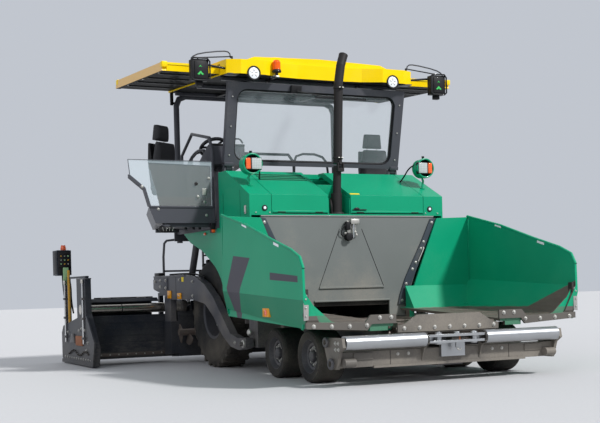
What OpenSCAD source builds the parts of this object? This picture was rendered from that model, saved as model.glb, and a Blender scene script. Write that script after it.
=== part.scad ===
// Wheeled asphalt paver: tractor with hopper and roof, and a floating screed behind.
// Millimetres, +Z up, front towards -Y, ground at Z = 0, origin midway along and across.
// Every y place below is measured back from the front of the push rollers.

/* [Overall] */
// Length from the push rollers to the rear of the end gates
machine_l = 6420; // [6300:10:6700]
// Half width of the tractor body
body_half_w = 1275; // [1260:5:1300]

/* [Hopper] */
// Half width over the open hopper wings
hopper_half_w = 1632; // [1600:2:1680]
// Place of the front edge of the hopper
hopper_front_y = 215; // [200:5:240]
// Place of the rear edge of the hopper wings
hopper_rear_y = 2192; // [2150:2:2195]
// Height of the hopper floor at the front
hopper_floor_z = 598; // [590:2:606]
// Half width of the fixed floor between the wings
hopper_mid_w = 575; // [540:5:580]
// Sheet thickness of the wing sides
wing_t = 26; // [20:1:30]
// Highest point of the wing sides
wing_top_z = 1790; // [1700:5:1795]
// Height of the fold line of the wing side at its front end
wing_fold_z = 850; // [820:5:880]
// Sideways place of the wing hinge
wing_hinge_x = 605; // [600:1:612]
// Height of the wing hinge
wing_hinge_z = 556; // [550:1:560]
// Diameter of the wing hinge pin
wing_pin_d = 30; // [24:2:36]

/* [Push bar] */
// Diameter of the push rollers
roller_d = 140; // [120:2:150]
// Inner end of a push roller
roller_in_x = 355; // [340:5:370]
// Outer end of a push roller
roller_out_x = 1256; // [1200:2:1260]
// Height of the push roller axis
roller_z = 430; // [420:2:440]
// Height of the push beam
push_beam_h = 150; // [120:5:160]
// Depth of the push beam
push_beam_d = 160; // [130:5:165]

/* [Front wheels] */
// Diameter of the solid front wheels
front_wheel_d = 540; // [500:5:545]
// Width of the solid front wheels
front_wheel_w = 300; // [260:5:300]
// Sideways place of the front wheel centres
front_wheel_x = 1087; // [1085:1:1095]
// Place of the foremost pair of wheels
front_wheel_y = 905; // [880:5:930]
// Spacing of the two front pairs
front_wheel_gap = 822; // [800:2:840]
// Sideways place of the kingpins
kingpin_x = 870; // [868:1:874]
// Diameter of the kingpins
kingpin_d = 40; // [34:2:44]

/* [Rear wheels] */
// Diameter of the rear tyres
rear_wheel_d = 1366; // [1340:2:1370]
// Width of the rear tyres
rear_wheel_w = 385; // [360:5:390]
// Sideways place of the rear wheel centres
rear_wheel_x = 948; // [945:1:950]
// Place of the rear axle
rear_axle_y = 3850; // [3820:5:3855]
// Diameter of the rear rims
rim_d = 650; // [600:5:680]

/* [Frame and body] */
// Outer half width of the longitudinal frame
frame_half_w = 680; // [660:5:690]
// Thickness of the frame plates
frame_t = 40; // [30:2:50]
// Place of the grey hopper rear wall
wall_y = 2215; // [2205:5:2230]
// Half width of the hopper rear wall at its top
wall_top_half_w = 1146; // [1120:2:1160]
// Half width of the hopper rear wall at its foot
wall_foot_half_w = 710; // [700:5:720]
// Top of the hopper rear wall
wall_top_z = 1790; // [1770:2:1795]
// Top of the engine hood
hood_top_z = 2360; // [2340:5:2375]
// Height where the hood's front face turns into its slope
hood_brow_z = 2030; // [1990:5:2060]
// Outer half width of the hood lids
lid_half_w = 1000; // [980:5:1010]
// Sheet thickness of the hood lids
lid_t = 30; // [24:1:34]
// Highest part of the operator deck
deck_z = 1765; // [1740:1:1766]
// Rear end of the operator deck
deck_rear_y = 4740; // [4700:5:4750]

/* [Conveyor and augers] */
// Top of the conveyor bars
conveyor_z = 590; // [584:1:592]
// Width of one conveyor strand
strand_w = 480; // [440:5:490]
// Spacing of the conveyor bars
bar_gap = 160; // [140:5:200]
// Diameter of the auger flights
auger_d = 340; // [300:5:350]
// Place of the auger shafts
auger_y = 4740; // [4735:1:4745]
// Height of the auger shafts
auger_z = 420; // [400:5:430]
// Outer end of the augers
auger_end_x = 1240; // [1150:5:1245]

/* [Screed] */
// Height of the screed plates above the ground as it stands
screed_z = 75; // [60:5:90]
// Front face of the basic screed
screed_front_y = 4970; // [4965:1:4980]
// Depth of the basic screed
screed_d = 300; // [280:5:305]
// Front face of the extensions
ext_front_y = 5300; // [5290:2:5310]
// Depth of the extensions
ext_d = 440; // [400:5:450]
// Outer end of the extended extension
ext_out_x = 2300; // [2280:5:2310]
// Inner end of the extended extension
ext_in_x = 1100; // [1080:5:1110]
// Top of the extension's front wall
ext_wall_z = 660; // [640:5:665]
// Diameter of the telescopic tube
slide_tube_d = 130; // [120:2:134]
// Height of the telescopic tube
slide_tube_z = 750; // [745:1:753]
// Thickness of the end gates
gate_t = 80; // [60:2:90]

/* [Tow arms] */
// Inner face of the tow arms
arm_in_x = 1170; // [1165:1:1175]
// Thickness of the tow arms
arm_t = 95; // [80:1:95]
// Place of the tow point
tow_y = 2500; // [2490:2:2510]
// Height of the tow point
tow_z = 345; // [340:1:350]
// Diameter of the tow pin
tow_pin_d = 50; // [40:2:60]

/* [Lift cylinders] */
// Sideways place of the lift cylinders
lift_x = 1000; // [990:2:1010]
// Place of the upper pin
lift_top_y = 4600; // [4590:2:4610]
// Height of the upper pin
lift_top_z = 1640; // [1630:2:1642]
// Place of the rod eye
lift_eye_y = 5020; // [5015:1:5025]
// Height of the rod eye
lift_eye_z = 800; // [795:1:805]
// Outer diameter of the lift barrel
lift_barrel_d = 90; // [80:2:96]
// Diameter of the chrome rod
lift_rod_d = 45; // [40:1:50]
// Diameter of the pins
lift_pin_d = 30; // [26:1:34]

/* [Roof] */
// Place of the front frame's lower pivot
roof_pivot_y = 3160; // [3150:2:3170]
// Height of both lower pivots
roof_pivot_z = 2420; // [2415:1:2425]
// How far the top of the front frame leans ahead of its foot
roof_lean = 230; // [220:2:240]
// How far the upper pivots lie above the lower ones
roof_rise = 1030; // [1020:2:1040]
// Place of the rear frame
rear_frame_y = 4800; // [4790:2:4810]
// Half width of the fixed roof
roof_half_w = 1255; // [1240:5:1270]
// Underside of the roof at its front edge
roof_z = 3492; // [3488:1:3496]
// Rise of the roof towards the rear, in degrees
roof_pitch = 3; // [2:0.25:3.5]
// Height of the roof's sides
roof_h = 168; // [160:2:180]
// Outer edge of the pulled out side canopies
canopy_out_x = 1970; // [1940:5:1980]
// Inner edge of the pulled out side canopies
canopy_in_x = 1010; // [1000:5:1040]
// Diameter of the frame tubes
frame_tube_d = 76; // [70:2:80]

/* [Exhaust] */
// Outer diameter of the exhaust stack
stack_d = 106; // [100:2:108]
// Place of the exhaust stack
stack_y = 2330; // [2325:1:2335]

/* [Operator stations] */
// Front face of the operator stations
station_front_y = 3216; // [3214:1:3220]
// Length of the operator stations
station_l = 1390; // [1350:5:1400]
// Outer edge of the station tray at its top
tray_out_x = 2110; // [2080:5:2120]
// Top of the station tray
tray_top_z = 1960; // [1940:5:1970]
// How far the outer side of a station draws in towards the rear, in degrees
station_taper = 17; // [16:1:18]
// How far the left station rests drawn in
station_in = 200; // [190:5:210]
// Sideways place of the seats
seat_x = 1550; // [1545:1:1560]
// Place of the seats' swivels
seat_y = 3800; // [3790:2:3804]
// How far the right seat rests turned towards its console, in degrees
seat_turn = 35; // [30:1:36]
// Height of the seats' pedestals
pedestal_h = 266; // [250:2:270]
// Width of the seat cushions
seat_w = 480; // [440:5:490]

/* [Hidden] */
$fn = 48;

// Colours of the finishes
green = "#1f9c6c";
dark_grey = "#55565a";
wall_grey = "#7b7d7c";
worn_steel = "#7c6f66";
bright_steel = "#b9bcc0";
black = "#1d1e20";
tyre_black = "#26262a";
screed_blue = "#2a3038";
yellow = "#f5d316";
glass = [0.75, 0.82, 0.85, 0.35];
lamp_orange = "#ee6a1c";

// Fits
pin_fit = 0.1;     // radial clearance of a running pin
rest_gap = 0.3;    // what keeps a resting piece clear of its seat
swing_gap = 12;    // what keeps moving sheets clear of fixed ones
eps = 1;           // how far a cut runs past a face
ball_extra = 0.4;  // how much a bend's ball is wider than its tube

// Shared places worked out from the sizes above
chain_y0 = hopper_front_y + 260;              // front bend of the conveyor
chain_y1 = auger_y - auger_d / 2 - 130;       // rear bend of the conveyor
wall_t = 22;                                  // sheet of the grey wall
arm_mid_x = arm_in_x + arm_t / 2;
tunnel_half_w = 520;
wing_slope = 3;                               // the wing floor rises to the rear
roof_front_y = roof_pivot_y - roof_lean;      // front edge of the roof
roof_pin_z = roof_pivot_z + roof_rise;
roof_l = rear_frame_y - roof_front_y + 60;    // the roof ends just behind the rear frame
roof_rear_z = roof_z + (rear_frame_y - roof_front_y) * tan(roof_pitch);   // its underside over the rear frame
roof_pin_d = 30;
lift_v = [lift_eye_y - lift_top_y, lift_top_z - lift_eye_z];
lift_len = norm(lift_v);
lift_tilt = atan2(lift_v[0], lift_v[1]);

// Moves a piece from the measuring frame to the part's own frame
module along() translate([0, -machine_l / 2, 0]) children();

// The machine's right side is -X: side is -1 there and 1 on the left
module on_side(side) mirror([side < 0 ? 1 : 0, 0, 0]) children();

module both_sides() {
    children();
    mirror([1, 0, 0]) children();
}

// Plate whose outline is given as [y, z], from x onwards
module plate_x(outline, x, t) translate([x, 0, 0]) rotate([90, 0, 90]) linear_extrude(t) polygon(outline);

// Plate whose outline is given as [x, z], from y backwards
module plate_y(outline, y, t) translate([0, y + t, 0]) rotate([90, 0, 0]) linear_extrude(t) polygon(outline);

// Box between two opposite corners
module block(a, b) translate(a) cube(b - a);

// Round bar or tube between two points
module bar(a, b, d) {
    v = b - a;
    translate(a) rotate([0, acos(v[2] / norm(v)), atan2(v[1], v[0])]) cylinder(h = norm(v), d = d);
}

// Round bar along X
module bar_x(x, y, z, l, d) translate([x, y, z]) rotate([0, 90, 0]) cylinder(h = l, d = d);

// Round bar along Y
module bar_y(x, y, z, l, d) translate([x, y, z]) rotate([-90, 0, 0]) cylinder(h = l, d = d);

// Tube that runs through a list of points with ball corners
module tube_path(points, d) {
    for (i = [0 : len(points) - 2]) bar(points[i], points[i + 1], d);
    for (i = [1 : 1 : len(points) - 2]) {
        v = points[i] - points[i - 1];
        translate(points[i]) rotate([0, acos(v[2] / norm(v)), atan2(v[1], v[0])]) sphere(d = d + ball_extra);
    }
}

// Main frame: side plates, cross members, hopper floor, tunnel and tow brackets
bar_axis_y = push_beam_d / 2 + 170;
hinge_lugs = [[520, 70], [1250, 70], [2060, 70]];     // [y, length] of the fixed wing hinge lugs
wing_eyes = [350, 1330, 1960];                        // y of the eyes on the wing
lashing_eyes = [[600, 440, 60], [2800, 760, 50]];     // [y, z, diameter] of the bores through the frame plates
module main_frame() color(dark_grey) along() {
    rear_y = auger_y - auger_d / 2 - 30;
    frame_top_z = 530;
    both_sides() {
        // longitudinal plate, deep behind the hopper
        difference() {
            plate_x([[450, 340], [2250, 340], [2400, 300], [rear_y, 300], [rear_y, 1100], [3150, 1100],
                     [2300, 1100], [2240, frame_top_z], [450, frame_top_z]], frame_half_w - frame_t, frame_t);
            for (eye = lashing_eyes) bar_x(frame_half_w - frame_t - eps, eye[0], eye[1], frame_t + 2 * eps, eye[2]);
        }
        // bracket that carries the levelling cylinder and the tow point guide
        block([frame_half_w - eps, 2380, 300], [arm_in_x - 30, 2440, 620]);
        block([frame_half_w - eps, 2560, 300], [arm_in_x - 30, 2620, 620]);
        // rear wall beside the tunnel
        block([frame_half_w - frame_t - eps, rear_y - 30, 700], [frame_half_w + 60, rear_y, 1100]);
    }
    // cross members
    block([-frame_half_w + eps, 452, 300], [frame_half_w - eps, 520, 370]);
    block([-frame_half_w + eps, 2250, 300], [frame_half_w - eps, 2310, 372]);
    block([-frame_half_w + eps, rear_y - 60, 300], [frame_half_w - eps, rear_y, 380]);
    // hopper floor under the conveyor, and the side strips up to the wings
    block([-hopper_mid_w, chain_y0 + 90, frame_top_z], [hopper_mid_w, chain_y1 - 90, conveyor_z - 40]);
    difference() {
        block([-hopper_mid_w, hopper_front_y + 20, conveyor_z - 41], [hopper_mid_w, hopper_rear_y, hopper_floor_z]);
        block([-tunnel_half_w, hopper_front_y + 60, conveyor_z - 60], [tunnel_half_w, hopper_rear_y + eps, hopper_floor_z + eps]);
    }
    // centre apron plate: a trapezoid lip over the conveyor's front end
    plate_y([[-600, 505], [600, 505], [600, 570], [520, 585], [370, 675], [-370, 675], [-520, 585], [-600, 570]],
            hopper_front_y - 25, 25);
    block([-400, hopper_front_y - 10, conveyor_z + 20], [400, hopper_front_y + 190, conveyor_z + 34]);
    both_sides() block([400 - eps, hopper_front_y - 10, 560], [460, hopper_front_y + 60, conveyor_z + 20]);
    // tunnel roof over the conveyor
    block([-frame_half_w + frame_t - eps, wall_y + wall_t, 850], [frame_half_w - frame_t + eps, rear_y, 865]);
    // wing hinge pins and their lugs
    both_sides() {
        bar_y(wing_hinge_x, 340, wing_hinge_z, 1800, wing_pin_d);
        for (lug = hinge_lugs)
            difference() {
                union() {
                    block([hopper_mid_w - 50, lug[0], wing_hinge_z - 40], [wing_hinge_x + 25, lug[0] + lug[1], wing_hinge_z + 18]);
                    block([hopper_mid_w - 50, lug[0], wing_hinge_z - 44], [frame_half_w - eps, lug[0] + lug[1], frame_top_z]);
                }
                bar_y(wing_hinge_x, lug[0] - eps, wing_hinge_z, lug[1] + 2 * eps, wing_pin_d);
            }
        for (lug = hinge_lugs) bar_y(wing_hinge_x, lug[0], wing_hinge_z, lug[1], wing_pin_d);
    }
    // nose plates that hold the push bar's centre pin
    for (z = [roller_z - 66, roller_z - 270])
        block([-150, 190, z], [150, 424, z + 26]);
    translate([0, bar_axis_y, roller_z - 270]) cylinder(h = 230, d = 60);
    block([-150, 398, roller_z - 270], [150, 424, roller_z - 40]);
    block([-150, 423, 300], [150, 453, 362]);
    // tow points: levelling cylinders with chrome rods, beside the frame
    both_sides() {
        bar_x(arm_in_x - 31, tow_y, tow_z, arm_t + 90, tow_pin_d);
        block([arm_in_x - 60, 2440 - eps, 300], [arm_in_x - 30, 2560 + eps, 620]);
        bar([arm_in_x - 45, tow_y, 619], [arm_in_x - 45, tow_y, 760], 40);
        bar([arm_in_x - 45, tow_y, 750], [arm_in_x - 45, tow_y, 1010], 90);
        block([frame_half_w - eps, tow_y - 50, 985], [arm_in_x, tow_y + 50, 1010]);
    }
    // block under the rear deck, beside the tunnel, that carries the deck
    both_sides() block([frame_half_w - frame_t, 4440, 1099], [frame_half_w, rear_y, deck_z - 60]);
    both_sides() block([frame_half_w - frame_t, 3160, 1099], [frame_half_w, 3300, deck_z - 60]);
    // brackets for the lift cylinders' upper pins
    both_sides() {
        difference() {
            union() for (x = [lift_x - 72, lift_x + 52])
                plate_x([[4500, deck_z - 62], [4500, lift_top_z - 50], [lift_top_y + 35, lift_top_z - 50],
                         [lift_top_y + 50, deck_z - 62]], x, 20);
            bar_x(lift_x - 80, lift_top_y, lift_top_z, 160, lift_pin_d);
        }
        bar_x(lift_x - 80, lift_top_y, lift_top_z, 160, lift_pin_d);
        block([frame_half_w - frame_t, lift_top_y - 130, deck_z - 76], [lift_x + 72, lift_top_y + 40, deck_z - 60]);
    }
    // auger gearbox and its hanger
    block([-60, auger_y - 60, auger_z - 60], [60, auger_y + 60, 700]);
    block([-60, rear_y - eps, 600], [60, auger_y, 700]);
    bar_x(-61, auger_y, auger_z, 122, 60);
    both_sides() bar_x(60 - eps, auger_y, auger_z, 79, 40);
    block([-frame_half_w + frame_t - eps, rear_y - 60, 640], [frame_half_w - frame_t + eps, rear_y, 700]);
}

// Coupling in the middle of the push bar: two plates with a pin between them
module tow_clevis() color(bright_steel) along() {
    difference() {
        union() for (z = [roller_z - 38, roller_z + 22])
            linear_extrude_at(z, 24) polygon([[-330, 45], [-300, 15], [-120, 0], [120, 0], [300, 15], [330, 45],
                                              [330, 110], [150, 150], [-150, 150], [-330, 110]]);
        translate([0, 60, 0]) cylinder(h = 900, d = 40);
    }
    translate([0, 60, roller_z - 90]) cylinder(h = 150, d = 40);
    block([-330, 100, roller_z - 15], [-230, 128, roller_z + 23]);
    block([230, 100, roller_z - 15], [330, 128, roller_z + 23]);
    block([-120, 130, roller_z - 15], [120, 150, roller_z + 23]);
    block([-140, 130, roller_z - 180], [140, 170, roller_z - 15]);
}
module linear_extrude_at(z, h) translate([0, 0, z]) linear_extrude(h) children();

// Grey hopper rear wall with its slot, ledge and pressed lines, and the level sensor
module hopper_wall() color(wall_grey) along() {
    slot_half_w = 500;
    t = wall_t;
    difference() {
        plate_y([[-wall_top_half_w, wall_top_z], [-wall_foot_half_w, 730], [-wall_foot_half_w, 610],
                 [wall_foot_half_w, 610], [wall_foot_half_w, 730], [wall_top_half_w, wall_top_z]], wall_y, t);
        block([-slot_half_w, wall_y - eps, 609], [slot_half_w, wall_y + t + eps, 795]);
    }
    // ledge under the pressed triangle
    plate_y([[-430, 950], [430, 950], [425, 968], [-425, 968]], wall_y - 16, 17);
    // bracket and sensor box near the top
    block([-50, wall_y - 20, 1640], [50, wall_y + eps, 1700]);
    block([-35, wall_y - 19, 1560], [35, wall_y - 5, 1660]);
    bar_y(0, wall_y - 18, 1600, 20, 46);
    // stiffeners behind the wall
    for (x = [-560, 536]) block([x, wall_y + t - eps, 870], [x + 24, wall_y + 100, wall_top_z - 20]);
}

// Painted body sheets: fixed hood frame with its corners, side panels and wheel arches
module bodywork() color(green) along() {
    t = 20;
    hood_rear_y = 3120;
    arch = [[3120, 1100], [3200, 1173], [3290, 1244], [3500, 1354], [3720, 1456], [4120, 1571], [4350, 1690]];
    both_sides() {
        // side sheet from the hood down to the wheel arch
        difference() {
            plate_x([[wall_y, 900], [3010, 900], [3060, 1000], each arch, [4350, deck_z - 62], [hood_rear_y, deck_z - 62],
                     [hood_rear_y, hood_top_z - 14], [2900, hood_top_z - 14], [wall_y, hood_brow_z - 14]],
                    body_half_w - t, t);
        }
        // arch sheet over the tyre, from the side sheet in to the frame
        plate_x(concat([for (p = arch) p], [for (i = [len(arch) - 1 : -1 : 0]) arch[i] + [-12, 12]]),
                frame_half_w, body_half_w - frame_half_w - 1);
        // front corner piece: front face, slope and top beside the lid
        plate_x([[wall_y, 1812], [wall_y, hood_brow_z], [2900, hood_top_z], [hood_rear_y, hood_top_z],
                 [hood_rear_y, hood_top_z - t], [2905, hood_top_z - t], [wall_y + t, hood_brow_z - 12], [wall_y + t, 1812]],
                lid_half_w + 6, body_half_w - lid_half_w - 6);
        // closing sheet under the corner piece
        block([lid_half_w + 6, wall_y, 1796], [body_half_w, wall_y + 60, 1813]);
        // hood side inside the lid's edge
        plate_x([[wall_y + t, 1800], [wall_y + t, hood_brow_z - 14], [2900, hood_top_z - 16], [hood_rear_y, hood_top_z - 16],
                 [hood_rear_y, 1800]], lid_half_w + 6, 14);
    }
    // top bar behind the lids, carrying their hinges
    block([-lid_half_w - 20, 3092, hood_top_z - 60], [lid_half_w + 20, hood_rear_y, hood_top_z]);
    // rear wall of the engine room
    block([-body_half_w + t - eps, hood_rear_y - t, 1100], [body_half_w - t + eps, hood_rear_y, hood_top_z - 20]);
    // sill over the hopper wall
    difference() {
        union() {
            block([-lid_half_w - 20, wall_y + 4, 1796], [lid_half_w + 20, wall_y + 60, 1812]);
            block([-282, wall_y + 59, 1802], [10, 2650, 1812]);
        }
        translate([-120, stack_y, 1790]) cylinder(h = 30, d = stack_d + 50);
    }
    // walls and floor of the exhaust recess
    for (x = [-282, 0])
        plate_x([[wall_y + 10, 1811], [wall_y + 10, 1990], [2640, 2190], [2640, 1811]], x, 10);
    block([-282, 2640 - eps, 1811], [10, 2650, 2190]);
    // lid hinge lugs with pins
    for (x = [-960, -330, 60, 940]) {
        block([x, 3040, hood_top_z - 59], [x + 14, 3093, hood_top_z - 34]);
        bar_x(x - 20, 3052, hood_top_z - 46, 54, 16);
    }
}

// Engine as one plain block, with the fixed lower exhaust pipe
module engine() color(black) along() {
    block([-430, 2750, 865], [430, 3050, 1940]);
    block([-330, 2660, 1000], [330, 2751, 1780]);
    tube_path([[-120, stack_y, 1800], [-115, stack_y, 1900], [-92, stack_y, roof_pivot_z - 40]], stack_d - 10);
    bar([-120, stack_y, 1780], [-114, stack_y, 2060], stack_d + 24);
    block([-170, stack_y - 50, 1700], [-70, stack_y + 50, 1790]);
    bar([-120, stack_y, 1740], [-120, 2661, 1740], 80);
    // hinge ear for the stack
    bar_x(-134, stack_y - 72, roof_pivot_z - 20, 88, 20);
    for (x = [-130, -66]) block([x, stack_y - 90, roof_pivot_z - 110], [x + 16, stack_y - 54, roof_pivot_z - 7]);
    block([-130, stack_y - 90, roof_pivot_z - 110], [-50, stack_y - 40, roof_pivot_z - 70]);
}

// Operator deck with rails, steps, guard columns and rear wall
module deck() color(dark_grey) along() {
    rail_y0 = 3130;
    both_sides() {
        // side girder under the station
        block([body_half_w - 42, rail_y0 + 10, 1703], [body_half_w, 4330, deck_z]);
        // guard column between hood and station
        block([body_half_w - 62, rail_y0, deck_z - 1], [body_half_w - 2, rail_y0 + 72, 2340]);
        block([1060, rail_y0, 2300], [body_half_w - 3, rail_y0 + 60, 2370]);
        // rear corner posts that carry the rear roof frame
        bar([1170, rear_frame_y, 1600], [1170, rear_frame_y, roof_pivot_z - 62], frame_tube_d);
        block([1120, deck_rear_y - 40, deck_z - 61], [1220, rear_frame_y + 36, deck_z]);
        for (x = [1132, 1190])
            difference() {
                union() {
                    block([x, rear_frame_y - 30, roof_pivot_z - 64], [x + 18, rear_frame_y + 30, roof_pivot_z]);
                    bar_x(x, rear_frame_y, roof_pivot_z, 18, 60);
                }
                bar_x(x - eps, rear_frame_y, roof_pivot_z, 20 + 2 * eps, roof_pin_d);
            }
        bar_x(1132, rear_frame_y, roof_pivot_z, 76, roof_pin_d);
        // lower pivots of the front roof frame
        for (x = [1068, 1172])
            difference() {
                union() {
                    block([x, roof_pivot_y - 30, 2300], [x + 20, roof_pivot_y + 30, roof_pivot_z]);
                    bar_x(x, roof_pivot_y, roof_pivot_z, 20, 60);
                }
                bar_x(x - eps, roof_pivot_y, roof_pivot_z, 22 + 2 * eps, roof_pin_d);
            }
        bar_x(1068, roof_pivot_y, roof_pivot_z, 124, roof_pin_d);
        // rear ladder between deck and walkway
        for (x = [560, 860]) block([x, deck_rear_y - 6, 1120], [x + 16, deck_rear_y + 34, deck_z - 20]);
        for (z = [1180, 1420, 1640]) block([560, deck_rear_y - 5, z], [876, deck_rear_y + 33, z + 20]);
    }
    // floor plate
    block([-body_half_w + 41, rail_y0 + 10, deck_z - 60], [body_half_w - 41, deck_rear_y, deck_z]);
    // front beam across, under the window frame
    block([-1110, rail_y0, 2300], [1110, rail_y0 + 26, 2362]);
    // rear wall over the tunnel
    block([-frame_half_w + 41, 4500, 866], [frame_half_w - 41, 4540, deck_z - 59]);
    // middle rear rail
    tube_path([[-480, deck_rear_y - 50, deck_z - 1], [-480, deck_rear_y - 50, 2700], [-400, deck_rear_y - 50, 2800],
               [400, deck_rear_y - 50, 2800], [480, deck_rear_y - 50, 2700], [480, deck_rear_y - 50, deck_z - 1]], 38);
}

// Conveyor: two strands of chains and bars on one fixed loop
sprocket_r = 105;
strands = [-1, 1];
module conveyor() color(worn_steel) along() {
    y0 = chain_y0;
    y1 = chain_y1;
    mid_z = conveyor_z - sprocket_r;
    chain_w = 40;
    for (side = strands) on_side(side) {
        for (x = [22, 22 + strand_w - chain_w])
            difference() {
                racetrack(x, y0, y1, mid_z, sprocket_r - 2, chain_w);
                racetrack(x - eps, y0, y1, mid_z, sprocket_r - 34, chain_w + 2 * eps);
            }
        for (y = [y0 : bar_gap : y1]) {
            block([22, y - 20, conveyor_z - 30], [22 + strand_w, y + 20, conveyor_z]);
            block([22, y - 20, mid_z - sprocket_r], [22 + strand_w, y + 20, mid_z - sprocket_r + 30]);
        }
    }
    // shafts in the bends
    for (y = [y0, y1]) bar_x(-frame_half_w + frame_t, y, mid_z, 2 * (frame_half_w - frame_t), 60);
    for (side = strands) on_side(side) for (y = [y0, y1], x = [22, 22 + strand_w - chain_w])
        bar_x(x, y, mid_z, chain_w, 2 * (sprocket_r - 34));
}
// Flat loop with round ends, seen from the side, from x onwards
module racetrack(x, y0, y1, z, r, w) {
    for (y = [y0, y1]) bar_x(x, y, z, w, 2 * r);
    block([x, y0, z - r], [x + w, y1, z + r]);
}

// Front axle with bogie beams and kingpins, and the rear axle with its drives
front_wheel_rows = [front_wheel_y, front_wheel_y + front_wheel_gap];
module axles() color(dark_grey) along() {
    mid_y = front_wheel_y + front_wheel_gap / 2;
    lug_r = 48;
    beam_in_x = 730;
    block([-beam_in_x - eps, mid_y - 70, 250], [beam_in_x + eps, mid_y + 70, 340]);
    both_sides() {
        block([beam_in_x, front_wheel_rows[0] - 60, 175], [beam_in_x + 70, front_wheel_rows[1] + 60, 375]);
        for (y = front_wheel_rows) {
            for (z = [130, 384])
                difference() {
                    union() {
                        translate([kingpin_x, y, z]) cylinder(h = 26, r = lug_r);
                        block([beam_in_x, y - lug_r, z], [kingpin_x, y + lug_r, z + 26]);
                    }
                    translate([kingpin_x, y, z - eps]) cylinder(h = 30, d = kingpin_d);
                }
            translate([kingpin_x, y, 130]) cylinder(h = 280, d = kingpin_d);
            block([beam_in_x, y - lug_r, 155], [beam_in_x + 70, y + lug_r, 386]);
        }
        // rear drive and shaft
        bar_x(frame_half_w, rear_axle_y, rear_wheel_d / 2, 40, 300);
        bar_x(frame_half_w, rear_axle_y, rear_wheel_d / 2, rear_wheel_x - frame_half_w + 60, 120);
    }
    bar_x(-frame_half_w + frame_t, rear_axle_y, rear_wheel_d / 2 + 32, 2 * (frame_half_w - frame_t), 200);
}

// Headlights on curved stalks
headlight_x = body_half_w - 125;
headlight_y = 2440;
headlight_z = 2390;
module headlights() color(green) along() both_sides() {
    difference() {
        bar_y(headlight_x, headlight_y - 60, headlight_z, 120, 232);
        bar_y(headlight_x, headlight_y - 61, headlight_z, 92, 208);
    }
    // lamp faces set into the hoods
    block([headlight_x - 4, headlight_y - 70, headlight_z - 66], [headlight_x + 74, headlight_y + 32, headlight_z + 66]);
    block([headlight_x - 74, headlight_y - 70, headlight_z - 66], [headlight_x - 12, headlight_y + 32, headlight_z + 66]);
    slope = atan2(hood_top_z - hood_brow_z, 2900 - wall_y);
    foot_z = hood_brow_z + (headlight_y + 20 - wall_y) * tan(slope) + rest_gap;
    tube_path([[headlight_x, headlight_y + 20, headlight_z - 110], [headlight_x + 20, headlight_y + 30, 2240],
               [headlight_x, headlight_y + 20, foot_z + 8]], 26);
    translate([headlight_x, headlight_y + 20, foot_z]) rotate([slope, 0, 0]) cylinder(h = 12, d = 60);
}

// Hopper wing: one folded sheet for floor and side, rear wall, raised corner, apron and hinge eyes
module hopper_wing() {
    hr = hopper_rear_y;
    hf = hopper_front_y;
    floor_t = 30;
    floor_in_x = wing_hinge_x + 34;
    foot_x = hopper_half_w - 62;                       // where the folded side meets the floor
    inner_x = hopper_half_w - wing_t;
    side = [[hr, 750 + swing_gap], [hf + 25, 562], [hf - 20, 660], [hf - 35, 860], [hf - 25, 1150], [hf + 45, 1262],
            [hf + 235, 1340], [hf + 685, 1460], [hf + 1305, 1640], [hr, wing_top_z]];
    floor_z0 = wing_hinge_z + 16;
    section = [[hopper_half_w, wing_top_z], [hopper_half_w, wing_fold_z], [foot_x, floor_z0], [floor_in_x, floor_z0],
               [floor_in_x, floor_z0 + floor_t], [foot_x - 250, floor_z0 + floor_t], [foot_x - 110, floor_z0 + 70],
               [inner_x, wing_fold_z + 70], [inner_x, wing_top_z]];
    intersection() {
        union() {
            plate_x(side, foot_x - 300, 400);
            plate_x([[hf, 500], [hr, 500], [hr, 900], [hf, 900]], wing_hinge_x, foot_x + 1 - wing_hinge_x);
        }
        translate([0, hf, 0]) rotate([wing_slope, 0, 0]) plate_y(section, -60, hr - hf + 100);
    }
    // rolled rim along the top edge
    tube_path([for (i = [4 : len(side) - 1]) [hopper_half_w - wing_t / 2, side[i][0], side[i][1]]], wing_t + 6);
    // rear wall of the wing, in front of the grey wall
    rear_t = 22;
    plate_y([[floor_in_x + 20, 680], [725, 730], [1160, 1765], [hopper_half_w - 1, wing_top_z - 10], [hopper_half_w - 1, 960],
             [foot_x + 8, 700], [foot_x - 100, 680]], hr - rear_t, rear_t);
    // sloped strip at the foot of the rear wall
    plate_x([[hr - rear_t + eps, 960], [hr - rear_t + eps, 700], [hr - 210, 665], [hr - 210, 690]], floor_in_x + 60, inner_x - 40 - floor_in_x - 60);
    // raised outer corner of the floor at the front
    plate_y([[foot_x - 420, floor_z0 + 1], [foot_x - 400, 602], [foot_x - 250, 640], [foot_x - 60, 800], [inner_x + 1, 945],
             [inner_x + 1, 660], [foot_x - 10, floor_z0 + 8]], hf, 18);
    // apron strip with its step, and the edge beam behind it
    plate_y([[wing_hinge_x + 10, 600], [890, 600], [940, 540], [hopper_half_w - 30, 577], [hopper_half_w - 30, 640], [960, 620],
             [900, 690], [wing_hinge_x + 10, 690]], hf - 24, 25);
    block([wing_hinge_x + 95, hf, 532], [900, hf + 40, floor_z0 + eps]);
    // hinge eyes
    for (y = wing_eyes)
        difference() {
            union() {
                bar_y(wing_hinge_x, y, wing_hinge_z, 90, wing_pin_d + 26);
                block([wing_hinge_x + 14, y, wing_hinge_z - 14], [wing_hinge_x + 80, y + 90, floor_z0 + 8 + (y - hf) * tan(wing_slope)]);
            }
            bar_y(wing_hinge_x, y - eps, wing_hinge_z, 90 + 2 * eps, wing_pin_d + 2 * pin_fit);
        }
}
module wing_right() color(green) along() on_side(-1) hopper_wing();
module wing_left() color(green) along() on_side(1) hopper_wing();

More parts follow.
